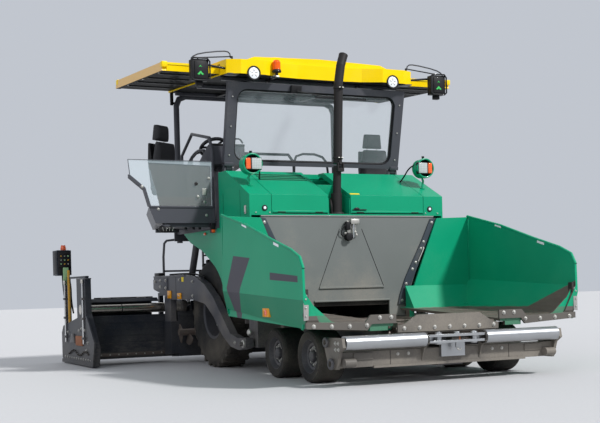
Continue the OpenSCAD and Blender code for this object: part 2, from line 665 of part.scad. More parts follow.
// Push bar: beam that swings about the centre pin, with brackets for both rollers
module push_bar() color(dark_grey) along() {
    z0 = roller_z - 240;
    difference() {
        union() {
            block([-roller_out_x - 30, 170, z0], [roller_out_x + 30, 170 + push_beam_d, z0 + push_beam_h]);
            block([-900, 150, z0 - 14], [900, 171, z0 + 10]);
        }
        translate([0, bar_axis_y, z0 - 20]) cylinder(h = 300, d = 60 + 2 * pin_fit);
    }
    both_sides() {
        // outer bracket with its two ring bosses
        plate_x([[40, roller_z - 40], [60, roller_z + 50], [420, roller_z + 50], [420, roller_z - 60], [340, z0 - 12],
                 [180, z0 - 12], [120, roller_z - 90]], roller_out_x + 6, 34);
        difference() {
            union() {
                bar_x(roller_out_x + 39, 350, roller_z + 6, 36, 90);
                bar_x(roller_out_x + 39, 250, z0 + 40, 36, 100);
            }
            bar_x(roller_out_x + 42, 350, roller_z + 6, 40, 54);
            bar_x(roller_out_x + 42, 250, z0 + 40, 40, 60);
        }
        // inner bracket
        plate_x([[40, roller_z - 40], [60, roller_z + 40], [175, roller_z + 40], [175, z0 + 10], [120, roller_z - 90]],
                roller_in_x - 22, 16);
        // roller shaft
        bar_x(roller_in_x - 21, 100, roller_z, roller_out_x - roller_in_x + 60, 50);
        // pad below the roller's outer end
        bar_x(roller_out_x - 130, 120, z0 + 50, 120, 80);
        block([roller_out_x - 130, 120, z0 + 10], [roller_out_x - 10, 171, z0 + 90]);
    }
}

module push_roller() difference() {
    bar_x(roller_in_x, 100, roller_z, roller_out_x - roller_in_x, roller_d);
    bar_x(roller_in_x - eps, 100, roller_z, roller_out_x - roller_in_x + 2 * eps, 50 + 2 * pin_fit);
}
module roller_right() color(bright_steel) along() on_side(-1) push_roller();
module roller_left() color(bright_steel) along() on_side(1) push_roller();

// Steering knuckle: barrel on the kingpin and stub axle to the wheel
stub_d = 70;
module knuckle(y) {
    difference() {
        union() {
            translate([kingpin_x, y, 162]) cylinder(h = 216, d = 84);
            bar_x(kingpin_x, y, front_wheel_d / 2, front_wheel_x - kingpin_x + 60, stub_d);
        }
        translate([kingpin_x, y, 150]) cylinder(h = 240, d = kingpin_d + 2 * pin_fit);
    }
}
module knuckle_front_right() color(dark_grey) along() on_side(-1) knuckle(front_wheel_rows[0]);
module knuckle_front_left() color(dark_grey) along() on_side(1) knuckle(front_wheel_rows[0]);
module knuckle_mid_right() color(dark_grey) along() on_side(-1) knuckle(front_wheel_rows[1]);
module knuckle_mid_left() color(dark_grey) along() on_side(1) knuckle(front_wheel_rows[1]);

// Solid front wheel: band of rubber on a dished hub
module front_wheel(y) translate([front_wheel_x, y, front_wheel_d / 2]) rotate([0, 90, 0]) {
    r = front_wheel_d / 2;
    h = front_wheel_w / 2;
    rotate_extrude($fn = 64) polygon([[stub_d / 2 + pin_fit, -60], [110, -60], [110, -h + 30], [170, -h + 10], [r - 34, -h],
                                      [r - 10, -h + 10], [r, -h + 34], [r, h - 34], [r - 10, h - 10], [r - 34, h],
                                      [170, h - 10], [140, h - 60], [110, h - 70], [60, h - 70], [60, h - 40],
                                      [stub_d / 2 + pin_fit, h - 40]]);
}
module wheel_front_right() color(tyre_black) along() on_side(-1) front_wheel(front_wheel_rows[0]);
module wheel_front_left() color(tyre_black) along() on_side(1) front_wheel(front_wheel_rows[0]);
module wheel_mid_right() color(tyre_black) along() on_side(-1) front_wheel(front_wheel_rows[1]);
module wheel_mid_left() color(tyre_black) along() on_side(1) front_wheel(front_wheel_rows[1]);

// Rear wheel: tall tyre with two rows of lugs, on a deep rim
lug_h = 18;
lug_count = 28;
module rear_wheel() translate([rear_wheel_x, rear_axle_y, rear_wheel_d / 2]) rotate([0, 90, 0]) {
    h = rear_wheel_w / 2;
    r = rear_wheel_d / 2 - lug_h;
    rr = rim_d / 2;
    hub_r = 60 + pin_fit;
    rotate_extrude($fn = 72) polygon([[hub_r, -10], [130, -10], [rr - 60, 10], [rr - 30, -30], [rr - 30, -h + 50], [rr, -h + 40],
                                      [rr + 30, -h + 14], [r - 150, -h], [r - 60, -h + 10], [r - 18, -h + 34], [r, -h + 70],
                                      [r, h - 70], [r - 18, h - 34], [r - 60, h - 10], [r - 150, h], [rr + 30, h - 14],
                                      [rr, h - 40], [rr - 30, h - 50], [rr - 30, 10], [rr - 70, 34], [150, 40], [130, 70],
                                      [hub_r, 70]]);
    // lugs: bars from the middle of the tread to its shoulders, in turn left and right
    for (i = [0 : lug_count - 1], side = [0, 1])
        rotate([0, 0, 360 / lug_count * (i + side / 2)]) mirror([0, 0, side]) linear_extrude_at(6, h - 36)
            polygon([[r - 30, -32], [r + lug_h - 1, -26], [r + lug_h, 0], [r + lug_h - 1, 26], [r - 30, 32]]);
}
module wheel_rear_right() color(tyre_black) along() on_side(-1) rear_wheel();
module wheel_rear_left() color(tyre_black) along() on_side(1) rear_wheel();

// Tow arms: from the tow point round the tyre and back to the screed
arm_outline = [[2440, 300], [2650, 268], [2900, 300], [3160, 430], [3420, 640], [3700, 800], [4100, 850], [4960, 852],
               [5300, 930], [5640, 990], [5640, 1165], [4380, 1165], [4010, 1140], [3700, 1040], [3420, 880], [3130, 640],
               [2900, 450], [2700, 410], [2440, 410]];
module tow_arms() color(dark_grey) along() both_sides() {
    difference() {
        plate_x(arm_outline, arm_in_x, arm_t);
        bar_x(arm_in_x - eps, tow_y, tow_z, arm_t + 2 * eps, tow_pin_d + 2 * pin_fit);
    }
    // foot that bolts the arm to the basic screed
    block([arm_in_x + 10, screed_front_y + 20, 560], [arm_in_x + arm_t - 10, screed_front_y + screed_d - 30, 900]);
}

// Basic screed: boxes, plates, guide tubes, walkway
module screed() color(screed_blue) along() {
    y0 = screed_front_y;
    y1 = screed_front_y + screed_d;
    half = 1160;
    tube_y = ext_front_y + 100;
    // front box and plate
    plate_x([[y0, screed_z + 60], [y0 + 20, screed_z + 15], [y1, screed_z], [y1, 620], [y0 + 40, 700], [y0, 640]], -half, 2 * half);
    both_sides() {
        // side plate under the tow arm
        plate_x([[y0 + 4, screed_z + 60], [y1 - 2, screed_z + 30], [y1 - 2, 560], [y0 + 4, 560]], half - eps, 102);
        // lift eye
        difference() {
            union() for (x = [lift_x - 52, lift_x + 34])
                plate_x([[lift_eye_y - 30, 660], [lift_eye_y - 26, lift_eye_z + 26], [lift_eye_y + 26, lift_eye_z + 26],
                         [lift_eye_y + 60, 660]], x, 18);
            bar_x(lift_x - 60, lift_eye_y, lift_eye_z, 120, lift_pin_d);
        }
        bar_x(lift_x - 52, lift_eye_y, lift_eye_z, 104, lift_pin_d);
    }
    // guide tubes for the extensions, carried above the gap between the boxes
    both_sides() difference() {
        union() {
            bar_x(80, tube_y, slide_tube_z, 1070, slide_tube_d + 30);
            for (x = [90, 260]) block([x, y1 - 60, slide_tube_z - 40], [x + 60, tube_y, slide_tube_z + 40]);
            for (x = [90, 260]) block([x, y1 - 60, 600], [x + 60, y1 - 10, slide_tube_z + 1]);
        }
        bar_x(20, tube_y, slide_tube_z, 1200, slide_tube_d + 2 * pin_fit);
    }
    // walkway on arms that pass over the extensions
    block([-1140, 5790, 560], [1140, 6180, 590]);
    for (x = [-75, 1080, -1140]) {
        block([x, y1 - 50, 905], [x + 60, 5850, 945]);
        block([x, 5791, 589], [x + 60, 5850, 906]);
        block([x, y1 - 50, 600], [x + 60, y1 - 10, 906]);
    }
    block([-1140, y1 - 50, 906], [1140, 5780, 918]);
}

// Extension: box with front wall, telescopic tube, end gate and control post
module screed_extension() {
    y0 = ext_front_y;
    y1 = ext_front_y + ext_d;
    tube_y = ext_front_y + 100;
    gx = ext_out_x;
    // screed box and front wall
    plate_x([[y0, screed_z + 45], [y0 + 20, screed_z + 5], [y1, screed_z], [y1, 460], [y0 + 180, 520], [y0 + 30, 560],
             [y0 + 30, ext_wall_z], [y0, ext_wall_z]], ext_in_x, gx - ext_in_x);
    // telescopic tube
    bar_x(1050, tube_y, slide_tube_z, gx - 1049, slide_tube_d);
    // top cover outside the basic width, sloped down to the tube
    cover_z = slide_tube_z + slide_tube_d / 2 + 23;
    plate_x([[y0 + 88, cover_z], [y0 + 98, cover_z], [y0 + 160, 870], [y1 - 20, 870], [y1 - 20, 886], [y0 + 150, 886]],
            1290, gx - 1290);
    plate_x([[y1 - 50, 459], [y1 - 34, 459], [y1 - 34, 871], [y1 - 50, 871]], 1290, gx - 1290);
    // walkway
    block([1290, y1 + 10, 420], [gx, 6180, 450]);
    block([1290, y1 - 60, 400], [1350, 6100, 421]);
    block([gx - 60, y1 - 60, 400], [gx, 6100, 421]);
    // end gate with its pointed front plate
    plate_x([[4750, 260], [4810, 14], [6330, 14], [6420, 90], [6420, 420], [6330, 520], [5560, 640], [5560, 1160], [5130, 1160],
             [5130, 700], [5060, 640]], gx - eps, gate_t);
    plate_x([[4690, 330], [4800, 14], [4860, 14], [5080, 690], [5000, 640]], gx + gate_t - 2, 20);
    // shoe along the ground
    block([gx + 10, 4800, 12], [gx + gate_t + 10, 6400, 60]);
    // tall posts of the height adjusters
    for (y = [5160, 6080]) block([gx + 20, y, 500], [gx + 60, y + 60, 1190]);
    block([gx + 18, 5160, 1170], [gx + 62, 6140, 1195]);
    bar([gx + 50, 6260, 400], [gx + 50, 6260, 1330], 44);
    // control box with its knob
    block([gx - 20, 6180, 1225], [gx + 180, 6420, 1570]);
    bar([gx + 60, 6290, 1569], [gx + 60, 6290, 1645], 60);
}
module extension_right() color(screed_blue) along() on_side(-1) screed_extension();
module extension_left() color(screed_blue) along() on_side(1) screed_extension();

// Auger: shaft with turned paddles
module auger() {
    pitch = 300;
    blade_t = 14;
    difference() {
        bar_x(122, auger_y, auger_z, auger_end_x - 122, 90);
        bar_x(121, auger_y, auger_z, 20, 40 + 2 * pin_fit);
    }
    difference() {
        for (x = [200 : pitch / 4 : auger_end_x - 40])
            translate([x, auger_y, auger_z]) rotate([(x - 200) / pitch * 360, 0, 0])
                rotate([0, 90, 0]) translate([0, 0, -blade_t / 2])
                    intersection() {
                        cylinder(h = blade_t, d = auger_d);
                        rotate([0, 0, -52]) linear_extrude(blade_t) polygon([[0, 0], [0, 300], [300, 300], [300, -40]]);
                    }
        bar_x(150, auger_y, auger_z, auger_end_x, 88);
    }
}
module auger_right() color(worn_steel) along() on_side(-1) auger();
module auger_left() color(worn_steel) along() on_side(1) auger();

// Lift cylinders, drawn upright at the upper pin and tilted to the rod eye
barrel_l = 540;
rod_top = 425;    // how far the rod's upper end lies below the upper pin
module at_lift() translate([lift_x, lift_top_y, lift_top_z]) rotate([lift_tilt, 0, 0]) children();
module lift_barrel() at_lift() {
    difference() {
        union() {
            translate([0, 0, -barrel_l]) cylinder(h = barrel_l - 40, d = lift_barrel_d);
            bar_x(-40, 0, 0, 80, 76);
            block([-30, -30, -60], [30, 30, -20]);
        }
        translate([0, 0, -barrel_l - eps]) cylinder(h = barrel_l - 68, d = lift_rod_d + 2 * pin_fit);
        bar_x(-41, 0, 0, 82, lift_pin_d + 2 * pin_fit);
    }
}
module lift_rod() at_lift() {
    difference() {
        union() {
            translate([0, 0, -lift_len]) cylinder(h = lift_len - rod_top, d = lift_rod_d);
            bar_x(-32, 0, -lift_len, 64, 66);
        }
        bar_x(-33, 0, -lift_len, 66, lift_pin_d + 7);
    }
}
module lift_barrel_right() color(dark_grey) along() on_side(-1) lift_barrel();
module lift_barrel_left() color(dark_grey) along() on_side(1) lift_barrel();
module lift_rod_right() color(bright_steel) along() on_side(-1) lift_rod();
module lift_rod_left() color(bright_steel) along() on_side(1) lift_rod();

// Front roof frame: window frame that leans forward, with pins at top and foot
lean_angle = atan2(roof_lean, roof_rise);
lean_l = norm([roof_lean, roof_rise]);
pane_t = 6;
module at_front_frame() translate([0, roof_pivot_y, roof_pivot_z]) rotate([lean_angle, 0, 0]) children();

// Window with round corners, made smaller all round
module window_outline(less) {
    half_w = 1080 - less;
    r = 130 - less;
    z0 = 90 + less;
    z1 = lean_l - 110 - less;
    translate([-half_w + r, z0]) square([2 * (half_w - r), z1 - z0]);
    translate([-half_w, z0 + r]) square([2 * half_w, z1 - z0 - 2 * r]);
    for (x = [-half_w + r, half_w - r], z = [z0 + r, z1 - r]) translate([x, z]) circle(r);
}
module roof_front_frame() color(dark_grey) along() {
    d = 70;
    lip = 12;
    at_front_frame() {
        difference() {
            block([-1200, -d / 2, 44], [1200, d / 2, lean_l - 30]);
            // the window, with a lip that the pane rests on
            translate([0, d, 0]) rotate([90, 0, 0]) linear_extrude(2 * d) window_outline(lip);
            translate([0, pane_t / 2, 0]) rotate([90, 0, 0]) linear_extrude(d) window_outline(0);
        }
        // foot eyes on the lower pins
        both_sides() difference() {
            union() {
                bar_x(1096, 0, 0, 68, 62);
                block([1096, -31, 0], [1164, 31, 46]);
            }
            bar_x(1095, 0, 0, 70, roof_pin_d + 2 * pin_fit);
        }
    }
    // ears that reach back to the upper pins
    both_sides() {
        for (x = [880, 960])
            plate_x([[roof_front_y + 45, roof_pin_z - 92], [roof_front_y + 32, roof_pin_z - 26], [roof_pivot_y, roof_pin_z + 28],
                     [roof_pivot_y + 28, roof_pin_z], [roof_pivot_y, roof_pin_z - 28]], x, 20);
        bar_x(880, roof_pivot_y, roof_pin_z, 100, roof_pin_d);
    }
}

// Windscreen in the front frame
module windscreen() color(glass) along() at_front_frame()
    translate([0, pane_t / 2, 0]) rotate([90, 0, 0]) linear_extrude(pane_t) window_outline(rest_gap);

// Rear roof frame: bent tube with pins for the roof's lugs beside its corners
module roof_rear_frame() color(dark_grey) along() translate([0, rear_frame_y, 0]) {
    top_z = roof_rear_z - frame_tube_d / 2 - 8;
    tube_path([[-1170, 0, roof_pivot_z + 40], [-1170, 0, top_z - 130], [-1132, 0, top_z - 38], [-1040, 0, top_z],
               [1040, 0, top_z], [1132, 0, top_z - 38], [1170, 0, top_z - 130], [1170, 0, roof_pivot_z + 40]], frame_tube_d);
    both_sides() {
        difference() {
            union() {
                bar_x(1155, 0, roof_pivot_z, 30, 60);
                block([1155, -28, roof_pivot_z], [1185, 28, roof_pivot_z + 60]);
            }
            bar_x(1154, 0, roof_pivot_z, 32, roof_pin_d + 2 * pin_fit);
        }
        bar_x(1150, 0, roof_pin_z, roof_half_w - 1153, roof_pin_d);
    }
}

// Fixed roof: tray, raised cover, front fascia and hinge lugs, pitched up to the rear
module at_roof() translate([0, roof_front_y, roof_z]) rotate([roof_pitch, 0, 0]) children();
module roof() color(yellow) along() {
    slot_z0 = 18;
    slot_z1 = 132;
    at_roof() {
        difference() {
            // cross section with a raised middle
            plate_y([[-roof_half_w, 0], [roof_half_w, 0], [roof_half_w, roof_h], [980, roof_h + 16], [860, roof_h + 62],
                     [0, roof_h + 86], [-860, roof_h + 62], [-980, roof_h + 16], [-roof_half_w, roof_h]], 0, roof_l);
            // side pockets that take the canopies
            both_sides() block([280, 105, slot_z0], [roof_half_w + eps, roof_l - 20, slot_z1]);
            // hollow middle
            block([-240, 60, slot_z0], [240, roof_l - 60, slot_z1]);
        }
        // fascia that bulges forward towards its ends
        difference() {
            linear_extrude(roof_h - 2) polygon([[-roof_half_w, 1], [-roof_half_w, -90], [-1100, -170], [-800, -175], [-560, -70],
                                                [-300, -30], [300, -30], [560, -70], [800, -175], [1100, -170],
                                                [roof_half_w, -90], [roof_half_w, 1]]);
            // underside rises towards the middle of each half
            for (x = [-940, 940]) bar_y(x, -400, 0, 270, 168);
        }
        // plain round discs
        for (x = [-940, 940]) bar_y(x, -172, 6, 43, 150);
    }
    // lugs on the front frame's pins, and on the rear frame's pins outside its legs
    both_sides() {
        roof_lug(904, 52, roof_pivot_y, roof_z + 22);
        roof_lug(roof_half_w - 38, 30, rear_frame_y, roof_rear_z + 10);
    }
}
module roof_lug(x, w, y, top_z) difference() {
    union() {
        bar_x(x, y, roof_pin_z, w, 60);
        block([x, y - 26, roof_pin_z], [x + w, y + 26, top_z]);
    }
    bar_x(x - eps, y, roof_pin_z, w + 2 * eps, roof_pin_d + 2 * pin_fit);
}

// Side canopies: tapered boxes that slide into the roof's pockets
module side_canopy() at_roof() {
    z0 = 18 + rest_gap;
    block([canopy_in_x, 120, z0], [canopy_out_x - 60, roof_l - 40, z0 + 100]);
    plate_x([[120, z0], [160, z0 + 100], [roof_l - 40, z0 + 100], [roof_l + 10, z0 + 30], [roof_l + 10, z0]], canopy_out_x - 61, 61);
}
module canopy_right() color(yellow) along() on_side(-1) side_canopy();
module canopy_left() color(yellow) along() on_side(1) side_canopy();

// Exhaust stack: leaning pipe with a bent tip, hinged at its foot
module exhaust_stack() color(black) along() {
    tube_path([[-88, stack_y, roof_pivot_z - 12], [-50, stack_y, 3350], [-10, stack_y + 10, 3560], [45, stack_y + 40, 3690]], stack_d);
    difference() {
        union() {
            bar_x(-104, stack_y - 72, roof_pivot_z - 20, 28, 40);
            block([-104, stack_y - 72, roof_pivot_z - 20], [-76, stack_y - 30, roof_pivot_z + 20]);
        }
        bar_x(-150, stack_y - 72, roof_pivot_z - 20, 120, 20 + 2 * pin_fit);
    }
}

// Lamps on the roof: amber beacon, two signal boxes on tube frames, work lamps
module roof_lights() color(lamp_orange) along() {
    beacon_y = roof_front_y - 165;
    translate([-640, beacon_y, roof_z + 30]) cylinder(h = 30, d = 80);
    translate([-640, beacon_y, roof_z + 60]) cylinder(h = 90, d = 94);
    translate([-640, beacon_y, roof_z + 149]) cylinder(h = 24, d1 = 94, d2 = 60);
    block([-655, beacon_y, roof_z - 26], [-625, roof_front_y - 20, roof_z - 6]);
    translate([-640, beacon_y, roof_z - 26]) cylinder(h = 57, d = 36);
    both_sides() {
        // signal box and its tube
        block([1510, 2760, 3372], [1710, 2850, 3612]);
        tube_path([[roof_half_w + 2, roof_front_y - 60, roof_z + 60], [1500, 2880, roof_z + 90], [1600, 2880, 3590]], 26);
        bar([1600, 2840, 3590], [1600, 2890, 3590], 26);
        bar([1180, roof_front_y - 100, roof_z + roof_h + 30], [1180, roof_front_y - 100, roof_z + roof_h - 6.6], 20);
        tube_path([[1180, roof_front_y - 100, roof_z + roof_h + 26], [1600, 2850, 3650], [1600, 2850, 3600]], 14);
    }
}

// Operator station: tray, side wall, screen, handrail, and the console on the right
module station() {
    y0 = station_front_y;
    y1 = station_front_y + station_l;
    floor_z = deck_z + rest_gap;
    t = 24;
    foot_x = 2034;
    rear_in = station_l * tan(station_taper);          // how much narrower the rear end is
    // floor
    linear_extrude_at(floor_z, t) polygon([[1000, y0], [foot_x, y0], [foot_x - rear_in, y1], [1000, y1]]);
    // front wall of the tray and the lower rear wall
    plate_y([[1290, floor_z], [foot_x - 4, floor_z + 4], [tray_out_x, tray_top_z], [1290, tray_top_z]], y0, t);
    plate_y([[1290, floor_z], [foot_x - 4 - rear_in, floor_z + 4], [tray_out_x - rear_in, tray_top_z], [1290, tray_top_z]], y1 - t, t);
    // leaning outer wall that tapers towards the rear
    intersection() {
        translate([foot_x, y0, 0]) rotate([0, 0, station_taper]) translate([-foot_x, -y0, 0])
            plate_y([[foot_x - 26, floor_z], [foot_x, floor_z], [tray_out_x, tray_top_z], [tray_out_x - 26, tray_top_z]],
                    y0 - 200, station_l + 400);
        block([1000, y0, floor_z], [2500, y1, tray_top_z]);
    }
    // lamp under the tray
    translate([1900, y0 + 40, floor_z - 78]) cylinder(h = 60, d = 110);
    translate([1900, y0 + 40, floor_z - 20]) cylinder(h = 21, d = 30);
    // seat pedestal
    translate([seat_x, seat_y, floor_z + t - 1]) cylinder(h = pedestal_h, d = 150);
}
module operator_console() {
    // leaning bracket, front screen and the panel behind it
    plate_y([[tray_out_x - 26, tray_top_z - 1], [tray_out_x, tray_top_z - 1], [2166, 2150], [2340, 2290], [2340, 2330],
             [2148, 2176]], station_front_y, 60);
    plate_y([[1320, tray_top_z - 1], [tray_out_x - 20, tray_top_z - 1], [2152, 2176], [2334, 2326], [2356, 2500], [1320, 2500]],
            station_front_y + 2, 10);
    plate_y([[1330, tray_top_z - 1], [2090, tray_top_z - 1], [2110, 2200], [2100, 2470], [1330, 2450]], station_front_y + 11, 13);
    // handrail beside the inner edge
    tube_path([[1295, station_front_y + 40, deck_z + 12], [1295, station_front_y + 40, 2640], [1295, station_front_y + 110, 2800],
               [1295, station_front_y + 700, 2920], [1295, station_front_y + 1080, 2690], [1295, station_front_y + 1080, deck_z + 12]], 38);
    z0 = deck_z + rest_gap + 23;
    block([1010, station_front_y + 200, z0], [1150, station_front_y + 420, 2500]);
    plate_x([[station_front_y + 60, 2480], [station_front_y + 460, 2425], [station_front_y + 500, 2560], [station_front_y + 200, 2720],
             [station_front_y + 60, 2700]], 860, 420);
    // steering wheel on its column
    bar([1070, station_front_y + 420, 2560], [1070, station_front_y + 540, 2740], 40);
    translate([1070, station_front_y + 540, 2740]) rotate([-34, 0, 0]) {
        rotate_extrude() translate([170, 0]) circle(d = 34);
        translate([0, 0, -18]) cylinder(h = 32, d = 84);
    }
    for (a = [0, 120, 240])
        translate([1070, station_front_y + 540, 2740]) rotate([-34, 0, 0]) rotate([0, 0, a]) translate([0, -12, -10]) cube([170, 24, 16]);
}
module station_right() color(dark_grey) along() on_side(-1) {
    station();
    operator_console();
}
module station_left() color(dark_grey) along() translate([-station_in, 0, 0]) station();

// Seat: cushion, back and headrest on a swivel plate
module seat(turn) {
    z0 = deck_z + 24 + pedestal_h - 1 + 2 * rest_gap;
    hw = seat_w / 2;
    translate([seat_x, seat_y, z0]) rotate([0, 0, -turn]) {
        cylinder(h = 30, d = 200);
        block([-180, -200, 29], [180, 200, 90]);
        plate_x([[-280, 110], [-270, 180], [-200, 210], [180, 190], [230, 160], [230, 89], [-260, 89]], -hw, seat_w);
        plate_x([[150, 150], [130, 300], [190, 700], [210, 760], [270, 760], [300, 700], [290, 150]], -hw + 20, seat_w - 40);
        for (x = [-90, 74]) block([x, 222, 740], [x + 16, 246, 800]);
        plate_x([[170, 790], [180, 940], [210, 970], [270, 965], [290, 930], [285, 790]], -140, 280);
        // armrests
        for (x = [-hw - 30, hw - 30]) block([x, -190, 300], [x + 60, 240, 350]);
    }
}
module seat_right() color(black) along() on_side(-1) seat(seat_turn);
module seat_left() color(black) along() translate([-station_in, 0, 0]) seat(0);

// Hood lids: sheet that follows front face, slope and top, with hinge eyes at the rear
lid_profile = [[wall_y, 1822], [wall_y, hood_brow_z], [2900, hood_top_z], [3034, hood_top_z], [3034, hood_top_z - lid_t],
               [2908, hood_top_z - lid_t], [wall_y + lid_t, hood_brow_z - 19], [wall_y + lid_t, 1822]];
module hood_lid(x0, x1, hinge_xs) {
    plate_x(lid_profile, x0, x1 - x0);
    // edge flanges
    for (x = [x0, x1 - 16])
        plate_x([[wall_y + 10, 1830], [wall_y + 10, hood_brow_z - 20], [2900, hood_top_z - 20], [3010, hood_top_z - 20],
                 [2600, 2150], [wall_y + 60, 1900], [wall_y + 60, 1830]], x, 16);
    for (x = hinge_xs)
        difference() {
            union() {
                bar_x(x + 16, 3052, hood_top_z - 46, 16, 34);
                block([x + 16, 3000, hood_top_z - 50], [x + 32, 3052, hood_top_z - 29]);
            }
            bar_x(x + 15, 3052, hood_top_z - 46, 18, 16 + 2 * pin_fit);
        }
}
module hood_right() color(green) along() {
    hood_lid(-lid_half_w, -284, [-960, -330]);
    // louvres near the top of the slope
    hood_rise = (hood_top_z - hood_brow_z) / (2900 - wall_y);
    for (y = [2640 : 50 : 2790]) {
        z = hood_brow_z + (y - wall_y) * hood_rise;
        plate_x([[y, z - 2], [y + 2, z + 14], [y + 10, z + 17], [y + 34, z + 34 * hood_rise - 2]], -lid_half_w + 60, lid_half_w - 404);
    }
}
module hood_left() color(green) along() hood_lid(12, lid_half_w, [60, 940]);

main_frame();
tow_clevis();
hopper_wall();
bodywork();
engine();
deck();
conveyor();
axles();
headlights();
wing_right();
wing_left();
push_bar();
roller_right();
roller_left();
knuckle_front_right();
knuckle_front_left();
knuckle_mid_right();
knuckle_mid_left();
wheel_front_right();
wheel_front_left();
wheel_mid_right();
wheel_mid_left();
wheel_rear_right();
wheel_rear_left();
tow_arms();
screed();
extension_right();
extension_left();
auger_right();
auger_left();
lift_barrel_right();
lift_barrel_left();
lift_rod_right();
lift_rod_left();
roof_front_frame();
windscreen();
roof_rear_frame();
roof();
canopy_right();
canopy_left();
exhaust_stack();
roof_lights();
station_right();
station_left();
seat_right();
seat_left();
hood_right();
hood_left();
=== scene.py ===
"""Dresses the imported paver: a finish for every node, and the fittings that the solids leave out.

Places are in metres: x across, y back from the front of the push rollers, z up from the ground.
Most fittings are drawn on the machine's left, at +X, and mirrored for the right.
"""
import math

import bmesh
import bpy
from mathutils import Matrix, Vector


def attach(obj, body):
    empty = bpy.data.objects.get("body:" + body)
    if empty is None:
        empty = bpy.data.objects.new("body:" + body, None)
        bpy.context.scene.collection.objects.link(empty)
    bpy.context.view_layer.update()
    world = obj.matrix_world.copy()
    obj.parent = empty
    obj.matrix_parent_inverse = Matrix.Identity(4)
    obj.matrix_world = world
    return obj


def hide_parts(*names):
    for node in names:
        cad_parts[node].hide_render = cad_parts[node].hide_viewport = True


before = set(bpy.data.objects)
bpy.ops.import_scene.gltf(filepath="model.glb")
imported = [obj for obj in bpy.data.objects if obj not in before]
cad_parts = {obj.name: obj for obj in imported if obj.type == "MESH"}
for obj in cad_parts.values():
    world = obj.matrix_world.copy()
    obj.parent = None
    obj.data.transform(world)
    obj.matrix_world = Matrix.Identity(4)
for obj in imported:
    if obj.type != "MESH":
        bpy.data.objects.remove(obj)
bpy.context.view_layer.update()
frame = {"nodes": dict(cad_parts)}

bl_info = {
    "name": "Wheeled asphalt paver",
    "version": (1, 0, 0),
    "blender": (4, 5, 0),
    "location": "View3D > Sidebar > Paver",
    "description": "Finishes and fittings of a wheeled asphalt paver",
    "category": "Object",
}

HALF = 3.210                       # from the push rollers' front to the middle of the machine
SIDES = ((-1, "right"), (1, "left"))
FRONT_AXLES = (("front", 0.905), ("mid", 1.727))
FRONT_HUB = (1.087, 0.270)         # x of a front wheel's middle, and z of its axle
FRONT_RIM = 0.172                  # radius of a front wheel's steel
REAR_AXLE = (3.850, 0.683)
REAR_HUB_X = 0.948
REAR_RIM = 0.328
SEAT = (1.550, 3.800, 2.055)       # foot of a seat, on a station that is drawn out
STATION_IN = {-1: 0.0, 1: -0.200}  # how far each station rests from its outer end
SEAT_TURN = {-1: 35, 1: 0}         # how far each seat rests turned inwards, in degrees
SCREEN_Y = (3.217, 3.228, 3.241)   # front of the screen, of the mat behind it, and the mat's back
ROOF_EDGE = (2.930, 3.492)         # y and z of the front lower edge of the roof's skin
ROOF_PITCH = 3                     # degrees
HEADLIGHT = (1.150, 2.390)         # x and z of a headlight's middle
ROLLER = (0.100, 0.430)            # y and z of the push rollers' axis
TUBE = (5.400, 0.750)              # y and z of the screed's telescopic tube
TUBE_RADIUS = 0.0652
HOOD_FOOT = (2.215, 2.030)         # y and z where the hood lids begin to rise
HOOD_RISE = 0.33 / 0.685
X, Y, Z = Vector((1, 0, 0)), Vector((0, 1, 0)), Vector((0, 0, 1))
LEVEL = Matrix.Identity(4)         # neither turned nor moved

PICTURE = (600, 423)               # size of the photograph, in pixels
EYE = (-6.302, -12.585, 0.981)     # the camera, with y from the middle of the machine
LOOK = (25.886, -0.637, -1.478)    # yaw, pitch and roll in degrees
FOCUS = 1130.116                   # focal length in pixels
AXIS_ROW = 299.27                  # row of the picture that the camera's axis meets
FILM = 36                          # width of the sensor, in millimetres

BUTTONS = ("zinc", "green signal", "red lens", "label yellow")  # finishes in turn, on the driving desk
KEYS = ("zinc", "post yellow", "pale green")                    # and on the screed's control boxes


def tone(red, green, blue):
    """A screen colour from 0 to 255, as the linear colour that a shader takes."""
    parts = [v / 255 for v in (red, green, blue)]
    return tuple(v / 12.92 if v < 0.04045 else ((v + 0.055) / 1.055) ** 2.4 for v in parts)


def colour(name, description, default):
    return bpy.props.FloatVectorProperty(
        name=name, description=description, subtype="COLOR", size=3, min=0, max=1, default=default)


def size(name, description, default):
    return bpy.props.FloatProperty(
        name=name, description=description, default=default, min=0, unit="LENGTH", subtype="DISTANCE")


class PaverColours(bpy.types.PropertyGroup):
    body: colour("Body", "Green paint of the sheets and wings", tone(8, 148, 108))
    roof: colour("Roof", "Yellow of the roof and canopies", tone(246, 206, 8))
    frame: colour("Frame", "Dark grey of the frames and stations", tone(70, 71, 77))
    wall: colour("Wall", "Grey of the hopper wall", tone(112, 116, 114))
    mixed: colour("Worn steel", "Brown grey of steel rubbed by mix", tone(112, 102, 95))
    beam: colour("Push beam", "Warm grey of the beam and aprons", tone(98, 94, 89))
    screed: colour("Screed", "Dark blue grey of the screed", tone(36, 41, 50))
    rubber: colour("Rubber", "Tyres and flaps", tone(30, 31, 33))
    amber: colour("Amber", "Beacon and turn lamps", tone(238, 92, 18))


class PaverSizes(bpy.types.PropertyGroup):
    bolt: size("Bolt", "Width of the bolt heads on the aprons", 0.026)


